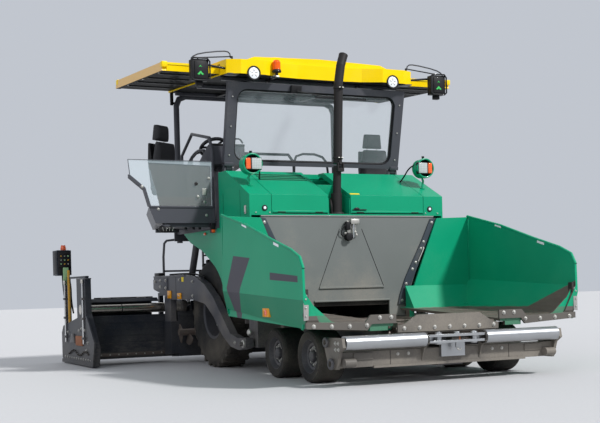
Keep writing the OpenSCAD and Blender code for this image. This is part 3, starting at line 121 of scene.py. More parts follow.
class Field:
    """A socket of a finish, used in sums and products as if it were a number."""

    def __init__(self, mix, socket):
        self.mix = mix
        self.socket = socket

    def maths(self, operation, first, second):
        return self.mix.node("Math", {"operation": operation}, {0: first, 1: second})

    def __add__(self, other):
        return self.maths("ADD", self, other)

    def __sub__(self, other):
        return self.maths("SUBTRACT", self, other)

    def __rsub__(self, other):
        return self.maths("SUBTRACT", other, self)

    def __mul__(self, other):
        return self.maths("MULTIPLY", self, other)

    def __pow__(self, other):
        return self.maths("POWER", self, other)

    def __abs__(self):
        return self.maths("ABSOLUTE", self, 0.0)

    def __neg__(self):
        return 0.0 - self

    def sine(self):
        return self.maths("SINE", self, 0.0)

    def most(self, other):
        """The larger of the field and another value."""
        return self.maths("MAXIMUM", self, other)

    def above(self, limit, soft=0.002):
        """1 where the field is over the limit, 0 below, with a soft edge."""
        return self.mix.between(self, limit - soft, limit + soft)

    def below(self, limit, soft=0.002):
        return 1 - self.above(limit, soft)

    __radd__ = __add__
    __rmul__ = __mul__


class Mixture:
    """The nodes of one finish."""

    def __init__(self, name):
        self.material = bpy.data.materials.new(name)
        self.material.use_nodes = True
        self.tree = self.material.node_tree
        self.tree.nodes.clear()

    def node(self, kind, settings=None, sockets=None, out=0):
        """Adds a node, sets it up, fills or links its sockets, and gives one of its outputs."""
        made = self.tree.nodes.new("ShaderNode" + kind)
        for key, value in (settings or {}).items():
            setattr(made, key, value)
        for key, value in (sockets or {}).items():
            if isinstance(value, Field):
                self.tree.links.new(value.socket, made.inputs[key])
            else:
                made.inputs[key].default_value = value
        return Field(self, made.outputs[out])

    def place(self):
        return self.node("TexCoord", out="Object")

    def facing(self):
        return self.axes(self.node("TexCoord", out="Normal"))

    def axes(self, vector):
        split = self.node("SeparateXYZ", sockets={0: vector}).socket.node
        return [Field(self, socket) for socket in split.outputs]

    def noise(self, where, scale, detail=3.0, rough=0.55):
        return self.node("TexNoise", sockets={
            "Vector": where, "Scale": scale, "Detail": detail, "Roughness": rough}, out="Fac")

    def stretched(self, where, x, y, z):
        return self.node("Mapping", sockets={0: where, "Scale": (x, y, z)})

    def between(self, field, low, high):
        return self.node("MapRange", {"interpolation_type": "SMOOTHSTEP"}, {
            0: field, 1: low, 2: high, 3: 0.0, 4: 1.0})

    def blend(self, factor, first, second):
        """Colours mixed by a factor: the first at 0, the second at 1."""
        def full(value):
            return value if isinstance(value, Field) else (*value[:3], 1.0)
        return self.node("Mix", {"data_type": "RGBA"}, {0: factor, 6: full(first), 7: full(second)}, out=2)

    def relief(self, height, distance=0.002, strength=0.5, edge=0.003):
        """A bumped normal on top of edges that are rounded by the edge size."""
        sockets = {"Height": height, "Distance": distance, "Strength": strength}
        if edge:
            sockets["Normal"] = self.node("Bevel", {"samples": 4}, {"Radius": edge})
        return self.node("Bump", sockets=sockets)

    def surface(self, sockets):
        """The shader that the finish ends in."""
        sockets = {k: (*v, 1.0) if isinstance(v, tuple) and len(v) == 3 else v for k, v in sockets.items()}
        shader = self.node("BsdfPrincipled", sockets=sockets)
        end = self.tree.nodes.new("ShaderNodeOutputMaterial")
        self.tree.links.new(shader.socket, end.inputs["Surface"])
        return self.material


def scaled(shade, factor):
    return tuple(min(1.0, v * factor) for v in shade)


def distance(across, up):
    return (across * across + up * up) ** 0.5


def roof_height(y):
    """Height of the underside of the roof's skin, y back from the front of the machine."""
    return ROOF_EDGE[1] + (y - ROOF_EDGE[0]) * math.tan(math.radians(ROOF_PITCH))


DUST = tone(150, 142, 130)


class Paint(Mixture):
    """A painted sheet: broad changes of tone, dust that gathers low down, fine peel and rounded edges."""

    def __init__(self, name, shade, rough=0.34, grime=0.3, metal=0.0, coat=0.08, edge=0.004, shine=0.2):
        super().__init__(name)
        self.where = self.place()
        self.x, self.y, self.z = self.axes(self.where)
        self.broad = self.noise(self.where, 1.6, 4)
        self.fine = self.noise(self.where, 60, 2)
        low = self.z.below(1.1, 0.9)
        self.dirt = self.between(self.broad + self.fine * 0.3 + low * 0.3, 0.72, 1.15) * grime
        self.base = self.tinted(shade)
        self.rough = rough
        self.metal = metal
        self.coat = coat
        self.edge = edge
        self.shine = shine

    def tinted(self, shade, spread=0.12):
        return self.blend(self.broad, scaled(shade, 1 - spread), scaled(shade, 1 + spread))

    def rubbed(self, shade, dark, light):
        """Steel streaked lengthways, from a darker to a lighter tone of its shade."""
        streaks = self.noise(self.stretched(self.where, 1, 0.15, 1), 22, 5, 0.7)
        return self.blend(streaks, scaled(shade, dark), scaled(shade, light))

    def finish(self, base=None, rough=None, metal=None, alpha=None):
        base = self.blend(self.dirt, base or self.base, DUST)
        rough = self.rough if rough is None else rough
        sockets = {
            "Base Color": base,
            "Roughness": rough + self.dirt * 0.4 + self.fine * 0.08 - 0.04,
            "Metallic": self.metal if metal is None else metal,
            "Specular IOR Level": self.shine,
            "Coat Weight": self.coat,
            "Normal": self.relief(self.fine, 0.0012, 0.35, self.edge),
        }
        if alpha is not None:
            sockets["Alpha"] = alpha
        return self.surface(sockets)


def worn_steel(name, shade, scale=(1, 1, 1), rough=0.5, metal=0.55, stain=0.6):
    """Bare steel rubbed by mix or turned bright: streaks, darker stains and fine scratches."""
    mix = Mixture(name)
    where = mix.place()
    streaks = mix.noise(mix.stretched(where, *scale), 26, 5, 0.7)
    patches = mix.noise(where, 2.3, 5, 0.6)
    scratches = mix.noise(mix.stretched(where, *scale), 180, 2)
    stained = mix.between(patches + streaks * 0.35, 0.55, 0.95) * stain
    base = mix.blend(streaks, scaled(shade, 0.78), scaled(shade, 1.2))
    base = mix.blend(stained, base, scaled(shade, 0.45))
    return mix.surface({
        "Base Color": base,
        "Roughness": rough + stained * 0.2 + scratches * 0.15 - 0.07,
        "Metallic": metal,
        "Normal": mix.relief(streaks + scratches * 0.5, 0.0015, 0.3, 0.003),
    })


def wing_paint(name, colours):
    """Green sheet: two dark stripes outside, rubbed brown inside over the floor and the front corner, and
    painted shade on the outer faces that look down.
    """
    mix = Paint(name, colours.body, rough=0.34, grime=0.05, coat=0.04)
    across, _, up = mix.facing()
    inward = mix.x * across
    inner = mix.between(-inward, 0.02, 0.1)
    inner = inner.most(mix.between(up, 0.2, 0.5))
    back = mix.y + HALF
    curl = (0.85 - back).most(0.0)
    outer = abs(mix.x)
    rubbed_to = 0.695 + curl * 0.42 * mix.between(outer, 1.2, 1.55)
    ragged = mix.noise(mix.where, 9, 4) * 0.02
    floor = mix.between(rubbed_to + ragged - mix.z, 0.0, 0.015) * inner
    front = mix.z.below(0.70) * mix.between(0.216 - back, 0.0, 0.002)
    bare = floor.most(front)
    rubbed = mix.blend(front, mix.rubbed(colours.mixed, 0.55, 1.25), colours.beam)
    # the slanted stripe, with its foot turned forward below the fold, and the level stripe ahead of it
    slanted = (back + mix.z * 0.890).above(2.573) * (back + mix.z * 0.611).below(2.680)
    slanted = slanted * (mix.z - back * 0.083).below(1.175)
    foot = (back + mix.z * 0.388).above(2.079) * (back - mix.z * 0.423).below(1.658)
    high = mix.z.above(0.986)
    band = slanted * high + foot * (1 - high)
    line = back.above(0.290) * back.below(0.930)
    line = line * (mix.z - back * 0.0734).below(1.063) * (mix.z - back * 0.053).above(1.007)
    outside = (1 - inner) * outer.above(1.55)
    # painted shade: outer faces that look down are darkened towards a dark green for the shade under the
    # wing's fold
    green = mix.blend(mix.between(-up, 0.05, 0.12) * outside * 0.45, mix.base, scaled(colours.body, 0.3))
    green = mix.blend((band + line) * outside, green, tone(64, 62, 72))
    return mix.finish(mix.blend(bare, green, rubbed), rough=0.34 + bare * 0.2, metal=bare * 0.35)


def frame_paint(name, colours):
    """Dark grey frame with the worn hopper floor and the warm grey apron on it."""
    mix = Paint(name, colours.frame, rough=0.45, grime=0.5)
    back = mix.y + HALF
    high = mix.z.above(0.5)
    ahead = 1 - back.above(2.2)
    nose = high * ahead
    inside = nose * mix.between(back, 0.216, 0.22)
    base = mix.blend(nose, mix.base, colours.beam)
    return mix.finish(mix.blend(inside, base, mix.rubbed(colours.mixed, 0.5, 1.1)), metal=inside * 0.4)


def wheel_finish(name, colours, axle_y, axle_z, rim, hub=None):
    """Rubber outside the rim's radius, painted steel inside it, dusty where the tyre meets the road."""
    mix = Paint(name, colours.rubber, rough=0.75, grime=0.18, coat=0.0, edge=0.002)
    back = mix.y + HALF - axle_y
    up = mix.z - axle_z
    inside = 1 - distance(back, up).above(rim)
    tread = mix.noise(mix.where, 90, 3) * 0.3
    tyre = mix.blend(mix.between(mix.broad + tread, 0.5, 0.9), colours.rubber, scaled(DUST, 0.16))
    steel = hub or scaled(colours.frame, 0.8)
    return mix.finish(mix.blend(inside, tyre, steel), rough=0.72 - inside * 0.3)


def roof_skin(name, colours, painted_light_end=False):
    """Yellow skin, black from below (a dark underside painted darker as painted shade), and on a canopy an
    end face painted pale as painted light.
    """
    mix = Paint(name, colours.roof, rough=0.34, grime=0.12, coat=0.06, shine=0.1)
    _, _, up = mix.facing()
    # painted shade: faces that look down and points under the skin go near black, darker than the dark
    # underside, for the shade under the roof
    below = mix.between(-up, 0.6, 0.7)
    under = mix.z - roof_height(mix.y + HALF)
    below = below.most(mix.between(0.001 - under, 0.0, 0.004))
    base = mix.base
    if painted_light_end:
        # painted light: the canopy's outer end face is painted a pale beige for the light that falls on it
        base = mix.blend(abs(mix.x).above(1.96, 0.004), base, tone(226, 186, 120))
    return mix.finish(mix.blend(below, base, tone(14, 15, 16)), rough=0.32 + below * 0.5)


def lamp_finish(name, colours):
    """Roof lamps: amber dome, black boxes and tubes."""
    mix = Paint(name, tone(26, 26, 28), rough=0.5, grime=0.2)
    dome = mix.z.above(3.552) * (1 - abs(mix.x).above(0.72))
    ribs = (mix.z * 420).sine()
    amber = mix.blend(ribs * 0.5 + 0.5, scaled(colours.amber, 0.8), scaled(colours.amber, 1.3))
    return mix.finish(mix.blend(dome, mix.base, amber), rough=0.5 - dome * 0.32)


def headlight_finish(name, colours):
    """Green hood whose bowl is dark behind the lenses."""
    mix = Paint(name, colours.body, rough=0.3, grime=0.08, coat=0.1)
    bowl_radius = 0.104
    across = abs(mix.x) - HEADLIGHT[0]
    up = mix.z - HEADLIGHT[1]
    bowl = 1 - distance(across, up).above(bowl_radius)
    return mix.finish(mix.blend(bowl, mix.base, tone(30, 30, 30)))


def station_finish(name, colours):
    """Grey tray and frame, clear screen, and the ribbed mat behind the screen."""
    mix = Paint(name, colours.frame, rough=0.42, grime=0.25)
    back = mix.y + HALF
    out = abs(mix.x)
    bracket = (out - mix.z * 0.32).above(1.456) * (mix.z - out * 0.802).below(0.456)
    over = mix.z.above(1.962) * out.above(1.318) * (1 - bracket)
    front, middle, rear = SCREEN_Y
    screen = over * back.above(front, 0.0005) * (1 - back.above(middle, 0.0008))
    ragged = mix.noise(mix.where, 14, 4) * 0.05
    torn = (out - mix.z * 0.25 + ragged).above(1.508, 0.004)
    panel = over * back.above(middle, 0.0008) * (1 - back.above(rear, 0.0008))
    mat = panel * (1 - torn)
    screen = screen + panel * torn
    weave = (mix.x * 520).sine()
    rows = (mix.z * 380).sine()
    folds = mix.noise(mix.stretched(mix.where, 7, 1, 0.5), 2.2, 3)
    cloth = mix.blend(folds, tone(48, 47, 42), tone(82, 80, 72))
    cloth = mix.blend(mix.between(weave + rows, 0.4, 1.6) * 0.5, cloth, tone(56, 54, 47))
    cloth = mix.blend(mix.z.below(2.075, 0.008), cloth, tone(74, 66, 56))
    base = mix.blend(mat, mix.base, cloth)
    base = mix.blend(screen, base, tone(206, 222, 228))
    return mix.finish(base, rough=0.42 + mat * 0.4 - screen * 0.38, alpha=1 - screen * 0.82)


def screed_paint(name, colours):
    """Dark blue grey sheet with the bright telescopic tube, and scuffed edges low down."""
    mix = Paint(name, colours.screed, rough=0.4, grime=0.15)
    back = mix.y + HALF - TUBE[0]
    up = mix.z - TUBE[1]
    tube = 1 - distance(back, up).above(TUBE_RADIUS, 0.0003)
    scratches = mix.noise(mix.stretched(mix.where, 0.3, 1, 1), 30, 5, 0.7)
    scuffs = mix.between(scratches + mix.z.below(0.3, 0.25) * 0.3, 0.62, 0.8)
    base = mix.blend(scuffs * 0.22, mix.base, tone(110, 104, 98))
    base = mix.blend(tube, base, tone(190, 184, 174))
    return mix.finish(base, rough=0.42 - tube * 0.24, metal=tube * 0.95)


def deck_paint(name, colours):
    """Grey frame whose floor has a raised tread."""
    mix = Paint(name, colours.frame, rough=0.42, grime=0.3)
    _, _, up = mix.facing()
    floor = mix.between(up, 0.7, 0.8) * mix.z.above(1.755) * (1 - mix.z.above(1.78))
    slant = ((mix.x + mix.y) * 150).sine()
    cross = ((mix.x - mix.y) * 150).sine()
    bars = mix.between(slant * cross, 0.45, 0.7) * floor
    base = mix.blend(mix.dirt, mix.blend(bars, mix.base, scaled(colours.frame, 1.8)), DUST)
    return mix.surface({
        "Base Color": base, "Roughness": 0.42 + mix.dirt * 0.4, "Metallic": bars * 0.5,
        "Normal": mix.relief(mix.fine * 0.1 + bars, 0.003, 0.8, 0.004)})


def lens(name, shade, ribs=300):
    """Moulded lamp lens with fine ribs."""
    mix = Mixture(name)
    x, _, z = mix.axes(mix.place())
    wave = (x * ribs).sine()
    rows = (z * ribs).sine()
    return mix.surface({
        "Base Color": mix.blend(wave * 0.25 + rows * 0.25 + 0.5, scaled(shade, 0.8), scaled(shade, 1.15)),
        "Roughness": 0.08, "Coat Weight": 1.0,
        "Normal": mix.relief(wave + rows, 0.001, 0.5, 0)})


def clear_pane(name):
    """Window glass with a faint film of dust."""
    mix = Mixture(name)
    film = mix.noise(mix.place(), 3, 4)
    return mix.surface({
        "Base Color": tone(200, 214, 218), "Roughness": 0.03 + film * 0.05,
        "Alpha": 0.06 + film * 0.06, "Coat Weight": 0.5})


def seat_cover(name, shade):
    """Black seat cover: a fine weave with dust in it."""
    mix = Mixture(name)
    where = mix.place()
    weave = mix.node("TexVoronoi", sockets={"Vector": where, "Scale": 420.0}, out="Distance")
    folds = mix.noise(where, 12, 4)
    return mix.surface({
        "Base Color": mix.blend(folds, scaled(shade, 0.75), scaled(shade, 1.5)),
        "Roughness": 0.62 + folds * 0.2,
        "Normal": mix.relief(weave * 0.4 + folds, 0.0015, 0.5, 0)})


class Shape:
    """A mesh in the making. Each call adds one closed form in the finish that is in use."""

    def __init__(self, first):
        self.bm = bmesh.new()
        self.finishes = []
        self.pose = LEVEL
        self.use(first)

    def use(self, name):
        """Turns to another finish."""
        made = bpy.data.materials[name]
        if made not in self.finishes:
            self.finishes.append(made)
        self.current = self.finishes.index(made)
        return self

    def add(self, form, soft=0.0, steps=2):
        """Takes a form in: closes it, turns its faces outwards, rounds its edges and finishes it."""
        bmesh.ops.remove_doubles(form, verts=form.verts, dist=1e-5)
        bmesh.ops.recalc_face_normals(form, faces=form.faces)
        if soft:
            sharp = [e for e in form.edges if e.is_manifold and e.calc_face_angle() > 0.4]
            bmesh.ops.bevel(form, geom=sharp, offset=soft, offset_type="OFFSET", segments=steps,
                            profile=0.5, affect="EDGES", clamp_overlap=True, material=-1)
        for face in form.faces:
            face.material_index = self.current
        bmesh.ops.transform(form, matrix=self.pose, verts=form.verts)
        sheet = bpy.data.meshes.new("form")
        form.to_mesh(sheet)
        form.free()
        self.bm.from_mesh(sheet)
        bpy.data.meshes.remove(sheet)
        return self

    def block(self, one, other, soft=0.003, steps=2):
        """A box between two opposite corners, given in any order."""
        low = Vector([min(pair) for pair in zip(one, other)])
        high = Vector([max(pair) for pair in zip(one, other)])
        form = bmesh.new()
        spread = Matrix.LocRotScale((low + high) / 2, None, high - low)
        bmesh.ops.create_cube(form, size=1.0, matrix=spread)
        return self.add(form, soft, steps)

    def rod(self, start, end, radius, far=None, sides=14, soft=0.0):
        start, end = Vector(start), Vector(end)
        along = end - start
        turn = Z.rotation_difference(along).to_matrix().to_4x4()
        form = bmesh.new()
        bmesh.ops.create_cone(
            form, cap_ends=True, segments=sides, radius1=radius, radius2=radius if far is None else far,
            depth=along.length, matrix=Matrix.Translation((start + end) / 2) @ turn)
        return self.add(form, soft)

    def ball(self, centre, radius, stretch=(1, 1, 1), sides=16):
        form = bmesh.new()
        place = Matrix.LocRotScale(Vector(centre), None, Vector(stretch))
        bmesh.ops.create_uvsphere(
            form, u_segments=sides, v_segments=sides // 2 + 1, radius=radius, matrix=place)
        return self.add(form)

    def tube(self, points, radius, sides=10):
        """A pipe along a list of points: one circle, extruded from point to point."""
        points = [Vector(p) for p in points]
        form = bmesh.new()
        ways = [(b - a).normalized() for a, b in zip(points, points[1:])]
        ways = [ways[0]] + [(a + b).normalized() for a, b in zip(ways, ways[1:])] + [ways[-1]]
        turn = Z.rotation_difference(ways[0]).to_matrix().to_4x4()
        spot = Matrix.Translation(points[0]) @ turn
        ring = bmesh.ops.create_circle(form, cap_ends=False, segments=sides, radius=radius,
                                       matrix=spot)["verts"]
        bmesh.ops.contextual_create(form, geom=ring)
        edges = list({e for v in ring for e in v.link_edges})
        for point, before, way in zip(points[1:], ways, ways[1:]):
            grown = bmesh.ops.extrude_edge_only(form, edges=edges)["geom"]
            ring = [g for g in grown if isinstance(g, bmesh.types.BMVert)]
            edges = [g for g in grown if isinstance(g, bmesh.types.BMEdge)]
            turn = before.rotation_difference(way).to_matrix().to_4x4() @ turn
            step = Matrix.Translation(point) @ turn
            bmesh.ops.transform(form, matrix=step @ spot.inverted(), verts=ring)
            spot = step
        bmesh.ops.contextual_create(form, geom=edges)
        return self.add(form)

    def hose(self, points, radius, rounds=2, sides=10):
        """A pipe whose bends are softened, by cutting the corners of its line some rounds."""
        points = [Vector(p) for p in points]
        for _ in range(rounds):
            cut = [points[0]]
            for a, b in zip(points, points[1:]):
                cut += [a.lerp(b, 0.25), a.lerp(b, 0.75)]
            points = cut + [points[-1]]
        return self.tube(points, radius, sides)

    def plate(self, outline, axis, start, depth, soft=0.002, steps=2):
        """A flat sheet: an outline in the two other axes, extruded along this one."""
        form = bmesh.new()
        spots = {"x": lambda a, b: (start, a, b), "y": lambda a, b: (a, start, b), "z": lambda a,
                 b: (a, b, start)}
        face = form.faces.new([form.verts.new(spots[axis](a, b)) for a, b in outline])
        grown = bmesh.ops.extrude_face_region(form, geom=[face])["geom"]
        way = {"x": X, "y": Y, "z": Z}[axis] * depth
        bmesh.ops.translate(form, vec=way, verts=[g for g in grown if isinstance(g, bmesh.types.BMVert)])
        return self.add(form, soft, steps)

    def lathe(self, profile, centre, axis, sides=32, soft=0.0):
        """A closed outline of radius and height, spun about an axis through the centre."""
        centre, axis = Vector(centre), Vector(axis).normalized()
        out = axis.orthogonal().normalized()
        form = bmesh.new()
        verts = [form.verts.new(centre + out * r + axis * h) for r, h in profile]
        edges = [form.edges.new((a, b)) for a, b in zip(verts, verts[1:] + verts[:1])]
        bmesh.ops.spin(form, geom=verts + edges, cent=centre, axis=axis, angle=math.tau, steps=sides,
                       use_merge=True, use_duplicate=False)
        bmesh.ops.remove_doubles(form, verts=form.verts, dist=1e-5)
        bmesh.ops.dissolve_degenerate(form, dist=1e-6, edges=form.edges)
        return self.add(form, soft)

    def bolt(self, centre, axis, width=0.026, head=0.012, washer=True):
        """Hexagon head on a washer, standing out along the axis."""
        centre, axis = Vector(centre), Vector(axis).normalized()
        if washer:
            self.rod(centre - axis * 0.001, centre + axis * 0.003, width * 0.85, sides=16)
        self.rod(centre, centre + axis * (head + 0.003), width / 1.732, sides=6, soft=0.0012)
        return self

    def done(self, name, body, slot, side=1, replaces=(), angle=35):
        """Turns the forms into a piece that rides on a body."""
        shift = Matrix.Translation((0, -HALF, 0))
        if side < 0:
            shift = Matrix.Scale(-1, 4, X) @ shift
        bmesh.ops.transform(self.bm, matrix=shift, verts=self.bm.verts)
        if side < 0:
            bmesh.ops.reverse_faces(self.bm, faces=self.bm.faces)
        mesh = bpy.data.meshes.new(name)
        self.bm.to_mesh(mesh)
        self.bm.free()
        for material in self.finishes:
            mesh.materials.append(material)
        mesh.polygons.foreach_set("use_smooth", [True] * len(mesh.polygons))
        mesh.set_sharp_from_angle(angle=math.radians(angle))
        piece = bpy.data.objects.new(name, mesh)
        bpy.context.scene.collection.objects.link(piece)
        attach(piece, body)
        if replaces:
            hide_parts(*replaces)
        return piece


def about(centre, axis, degrees):
    """Turns about an axis through a point."""
    there = Matrix.Translation(centre)
    return there @ Matrix.Rotation(math.radians(degrees), 4, axis) @ there.inverted()


class Piece:
    """What the operators share: the object menus' options and the settings of the scene."""
    bl_options = {"REGISTER", "UNDO"}

    @property
    def colours(self):
        return bpy.context.scene.paver_colours

    @property
    def sizes(self):
        return bpy.context.scene.paver_sizes

    def execute(self, context):
        self.make()
        return {"FINISHED"}


class PAVER_OT_stage(Piece, bpy.types.Operator):
    """Pale floor, soft studio light and the camera at the photograph's angle"""
    bl_idname = "paver.stage"
    bl_label = "Stage"

    def make(self):
        scene = bpy.context.scene
        floor = Mixture("studio floor")
        grain = floor.noise(floor.place(), 30, 4)
        floor.surface({
            "Base Color": floor.blend(grain, (0.46, 0.46, 0.47), (0.52, 0.52, 0.52)), "Roughness": 0.85})
        form = bmesh.new()
        bmesh.ops.create_grid(form, x_segments=4, y_segments=4, size=60)
        mesh = bpy.data.meshes.new("floor")
        form.to_mesh(mesh)
        form.free()
        mesh.materials.append(floor.material)
        plane = bpy.data.objects.new("floor", mesh)
        scene.collection.objects.link(plane)
        world = bpy.data.worlds.new("studio")
        world.use_nodes = True
        world.node_tree.nodes["Background"].inputs[0].default_value = (0.86, 0.91, 1.0, 1)
        world.node_tree.nodes["Background"].inputs[1].default_value = 0.62
        scene.world = world
        # name, where it shines from, strength, and spread in degrees
        lights = (
            ("key", (8.0, -12.0, 13.0), 3.5, 6), ("fill", (-12.0, -8.0, 7.0), 0.4, 40),
            ("back", (2.0, 12.0, 8.0), 0.4, 40))
        for name, spot, power, spread in lights:
            light = bpy.data.lights.new(name, "SUN")
            light.energy = power
            light.angle = math.radians(spread)
            lamp = bpy.data.objects.new(name, light)
            lamp.rotation_euler = Vector(spot).to_track_quat("Z", "Y").to_euler()
            scene.collection.objects.link(lamp)
        yaw, pitch, roll = (math.radians(v) for v in LOOK)
        ahead = Vector((math.sin(yaw) * math.cos(pitch), math.cos(yaw) * math.cos(pitch), math.sin(pitch)))
        level = Vector((math.cos(yaw), -math.sin(yaw), 0))
        upright = level.cross(ahead)
        right = level * math.cos(roll) + upright * math.sin(roll)
        up = upright * math.cos(roll) - level * math.sin(roll)
        view = bpy.data.cameras.new("view")
        view.sensor_width = FILM
        view.lens = FOCUS / PICTURE[0] * FILM
        view.shift_y = (AXIS_ROW - PICTURE[1] / 2) / PICTURE[0]
        view.clip_end = 200
        camera = bpy.data.objects.new("view", view)
        turn = Matrix((right, up, -ahead)).transposed().to_4x4()
        camera.matrix_world = Matrix.Translation(EYE) @ turn
        scene.collection.objects.link(camera)
        scene.camera = camera
        scene.view_settings.view_transform = "Standard"


class PAVER_OT_finishes(Piece, bpy.types.Operator):
    """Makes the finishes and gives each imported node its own"""
    bl_idname = "paver.finishes"
    bl_label = "Finishes"

    def make(self):
        c = self.colours
        Paint("body green", c.body, rough=0.32, grime=0.06, coat=0.06).finish()
        # painted shadow: a dark copy of the body green for the shade under the right lid's louvres
        Paint("louvre shadow green", scaled(c.body, 0.22), rough=0.5, grime=0.1, coat=0.0).finish()
        Paint("reflector amber", tone(222, 150, 24), rough=0.25, grime=0.05).finish()
        Paint("frame grey", c.frame, rough=0.42, grime=0.35).finish()
        Paint("light grey", tone(150, 150, 148), rough=0.45, grime=0.3).finish()
        Paint("wall grey", c.wall, rough=0.5, grime=0.5, metal=0.15).finish()
        Paint("beam grey", c.beam, rough=0.5, grime=0.45).finish()
        Paint("screed blue", c.screed, rough=0.42, grime=0.15).finish()
        Paint("roof yellow", c.roof, rough=0.34, grime=0.1, coat=0.1).finish()
        Paint("label yellow", tone(232, 206, 30), rough=0.5, grime=0.1).finish()
        Paint("post yellow", tone(196, 150, 52), rough=0.5, grime=0.5).finish()
        Paint("pale green", tone(150, 190, 140), rough=0.5, grime=0.3).finish()
        Paint("rust", tone(150, 84, 46), rough=0.8, grime=0.3, coat=0).finish()
        Paint("reflector white", tone(232, 236, 240), rough=0.25, grime=0.08).finish()
        Paint("black plastic", tone(26, 26, 28), rough=0.5, grime=0.2, coat=0.1).finish()
        Paint("soot black", tone(44, 42, 42), rough=0.6, grime=0.25, metal=0.3, coat=0).finish()
        Paint("rubber", c.rubber, rough=0.8, grime=0.5, coat=0).finish()
        Paint("flap rubber", tone(52, 60, 68), rough=0.65, grime=0.3, coat=0).finish()
        wheel_finish("rear tyre", c, *REAR_AXLE, REAR_RIM)
        worn_steel("bright steel", tone(176, 178, 180), (0.1, 1, 1), 0.3, 0.9, 0.25)
        worn_steel("chrome", tone(206, 206, 206), (1, 1, 0.1), 0.14, 1.0, 0.1)
        worn_steel("mix steel", c.mixed, (1, 0.2, 1))
        worn_steel("zinc", tone(190, 188, 182), (1, 1, 1), 0.38, 0.85, 0.3)
        lens("amber lens", c.amber)
        lens("clear lens", tone(176, 184, 182))
        lens("green signal", tone(60, 190, 90))
        lens("red lens", tone(180, 20, 16))
        clear_pane("pane")
        seat_cover("seat cover", tone(40, 40, 43))
        own = {
            "main_frame": frame_paint("frame and floor", c),
            "roof": roof_skin("roof skin", c), "canopy": roof_skin("canopy skin", c, True),
            "roof_lights": lamp_finish("roof lamps", c), "headlights": headlight_finish("headlight hoods",
                                                                                        c),
            "station": station_finish("station", c), "extension": screed_paint("extension", c),
            "deck": deck_paint("deck tread", c), "wing": wing_paint("wing", c),
            "wheel_front": wheel_finish("front wheels", c, FRONT_AXLES[0][1], FRONT_HUB[1], FRONT_RIM),
            "wheel_mid": wheel_finish("middle wheels", c, FRONT_AXLES[1][1], FRONT_HUB[1], FRONT_RIM),
        }
        shared = {
            "frame grey": (
                "axles", "knuckle", "tow_arms", "lift_barrel", "roof_front_frame", "roof_rear_frame"),
            "body green": ("bodywork", "hood"), "bright steel": ("tow_clevis", "roller"),
            "mix steel": ("conveyor", "auger"), "soot black": ("engine", "exhaust_stack"),
            "wall grey": ("hopper_wall",), "beam grey": ("push_bar",), "screed blue": ("screed",),
            "chrome": ("lift_rod",), "rear tyre": ("wheel_rear",), "seat cover": ("seat",),
            "pane": ("windscreen",),
        }
        own.update({key: bpy.data.materials[name] for name, keys in shared.items() for key in keys})
        for name, node in frame["nodes"].items():
            key = max((k for k in own if name.startswith(k)), key=len)
            node.data.materials.clear()
            node.data.materials.append(own[key])
            node.data.polygons.foreach_set("use_smooth", [True] * len(node.data.polygons))
            node.data.set_sharp_from_angle(angle=math.radians(28))


class PAVER_OT_rear_hubs(Piece, bpy.types.Operator):
    """Hub caps, wheel nuts and valve of the rear wheels"""
    bl_idname = "paver.rear_hubs"
    bl_label = "Rear hubs"

    def make(self):
        y, z = REAR_AXLE
        for side, word in SIDES:
            centre = Vector((REAR_HUB_X, y, z))
            hub = Shape("zinc")
            hub.use("frame grey")
            hub.lathe(
                [(0.0, 0.069), (0.0, 0.128), (0.080, 0.124), (0.094, 0.108), (0.094, 0.069)], centre, X, 40)
            hub.use("zinc")
            for i in range(10):
                hub.pose = about(centre, "X", 36 * i)
                hub.bolt(centre + Vector((0.069, 0, 0.112)), X, 0.018, 0.008, False)
                hub.bolt(centre + Vector((0.036, 0, 0.195)), X, 0.030, 0.020)
            hub.pose = LEVEL
            hub.use("black plastic")
            hub.rod(centre + Vector((0.030, 0.20, 0.16)), centre + Vector((0.075, 0.21, 0.168)), 0.008)
            hub.done("rear_hub_" + word, "wheel_rear_" + word, "dark_paint", side)


class PAVER_OT_front_hubs(Piece, bpy.types.Operator):
    """Hub caps, nuts and edge bands of the solid front wheels"""
    bl_idname = "paver.front_hubs"
    bl_label = "Front hubs"

    def make(self):
        for row, y in FRONT_AXLES:
            for side, word in SIDES:
                centre = Vector((FRONT_HUB[0], y, FRONT_HUB[1]))
                hub = Shape("frame grey")
                hub.lathe(
                    [(0.0, 0.075), (0.0, 0.132), (0.030, 0.130), (0.052, 0.118), (0.058, 0.075)], centre, X,
                    32)
                hub.lathe(
                    [(0.112, 0.079), (0.112, 0.092), (0.136, 0.098), (0.142, 0.091), (0.128, 0.079)],
                    centre, X, 48)
                hub.use("zinc")
                for i in range(8):
                    hub.pose = about(centre, "X", 45 * i)
                    hub.bolt(centre + Vector((0.079, 0, 0.086)), X, 0.024, 0.014)
                hub.pose = LEVEL
                hub.use("rubber")
                for way in (-1, 1):
                    hub.lathe(
                        [(0.236, way * 0.1485), (0.240, way * 0.152), (0.246, way * 0.1485),
                         (0.240, way * 0.145)], centre, X, 64)
                name = f"{row}_{word}"
                hub.done("hub_" + name, "wheel_" + name, "dark_paint", side)


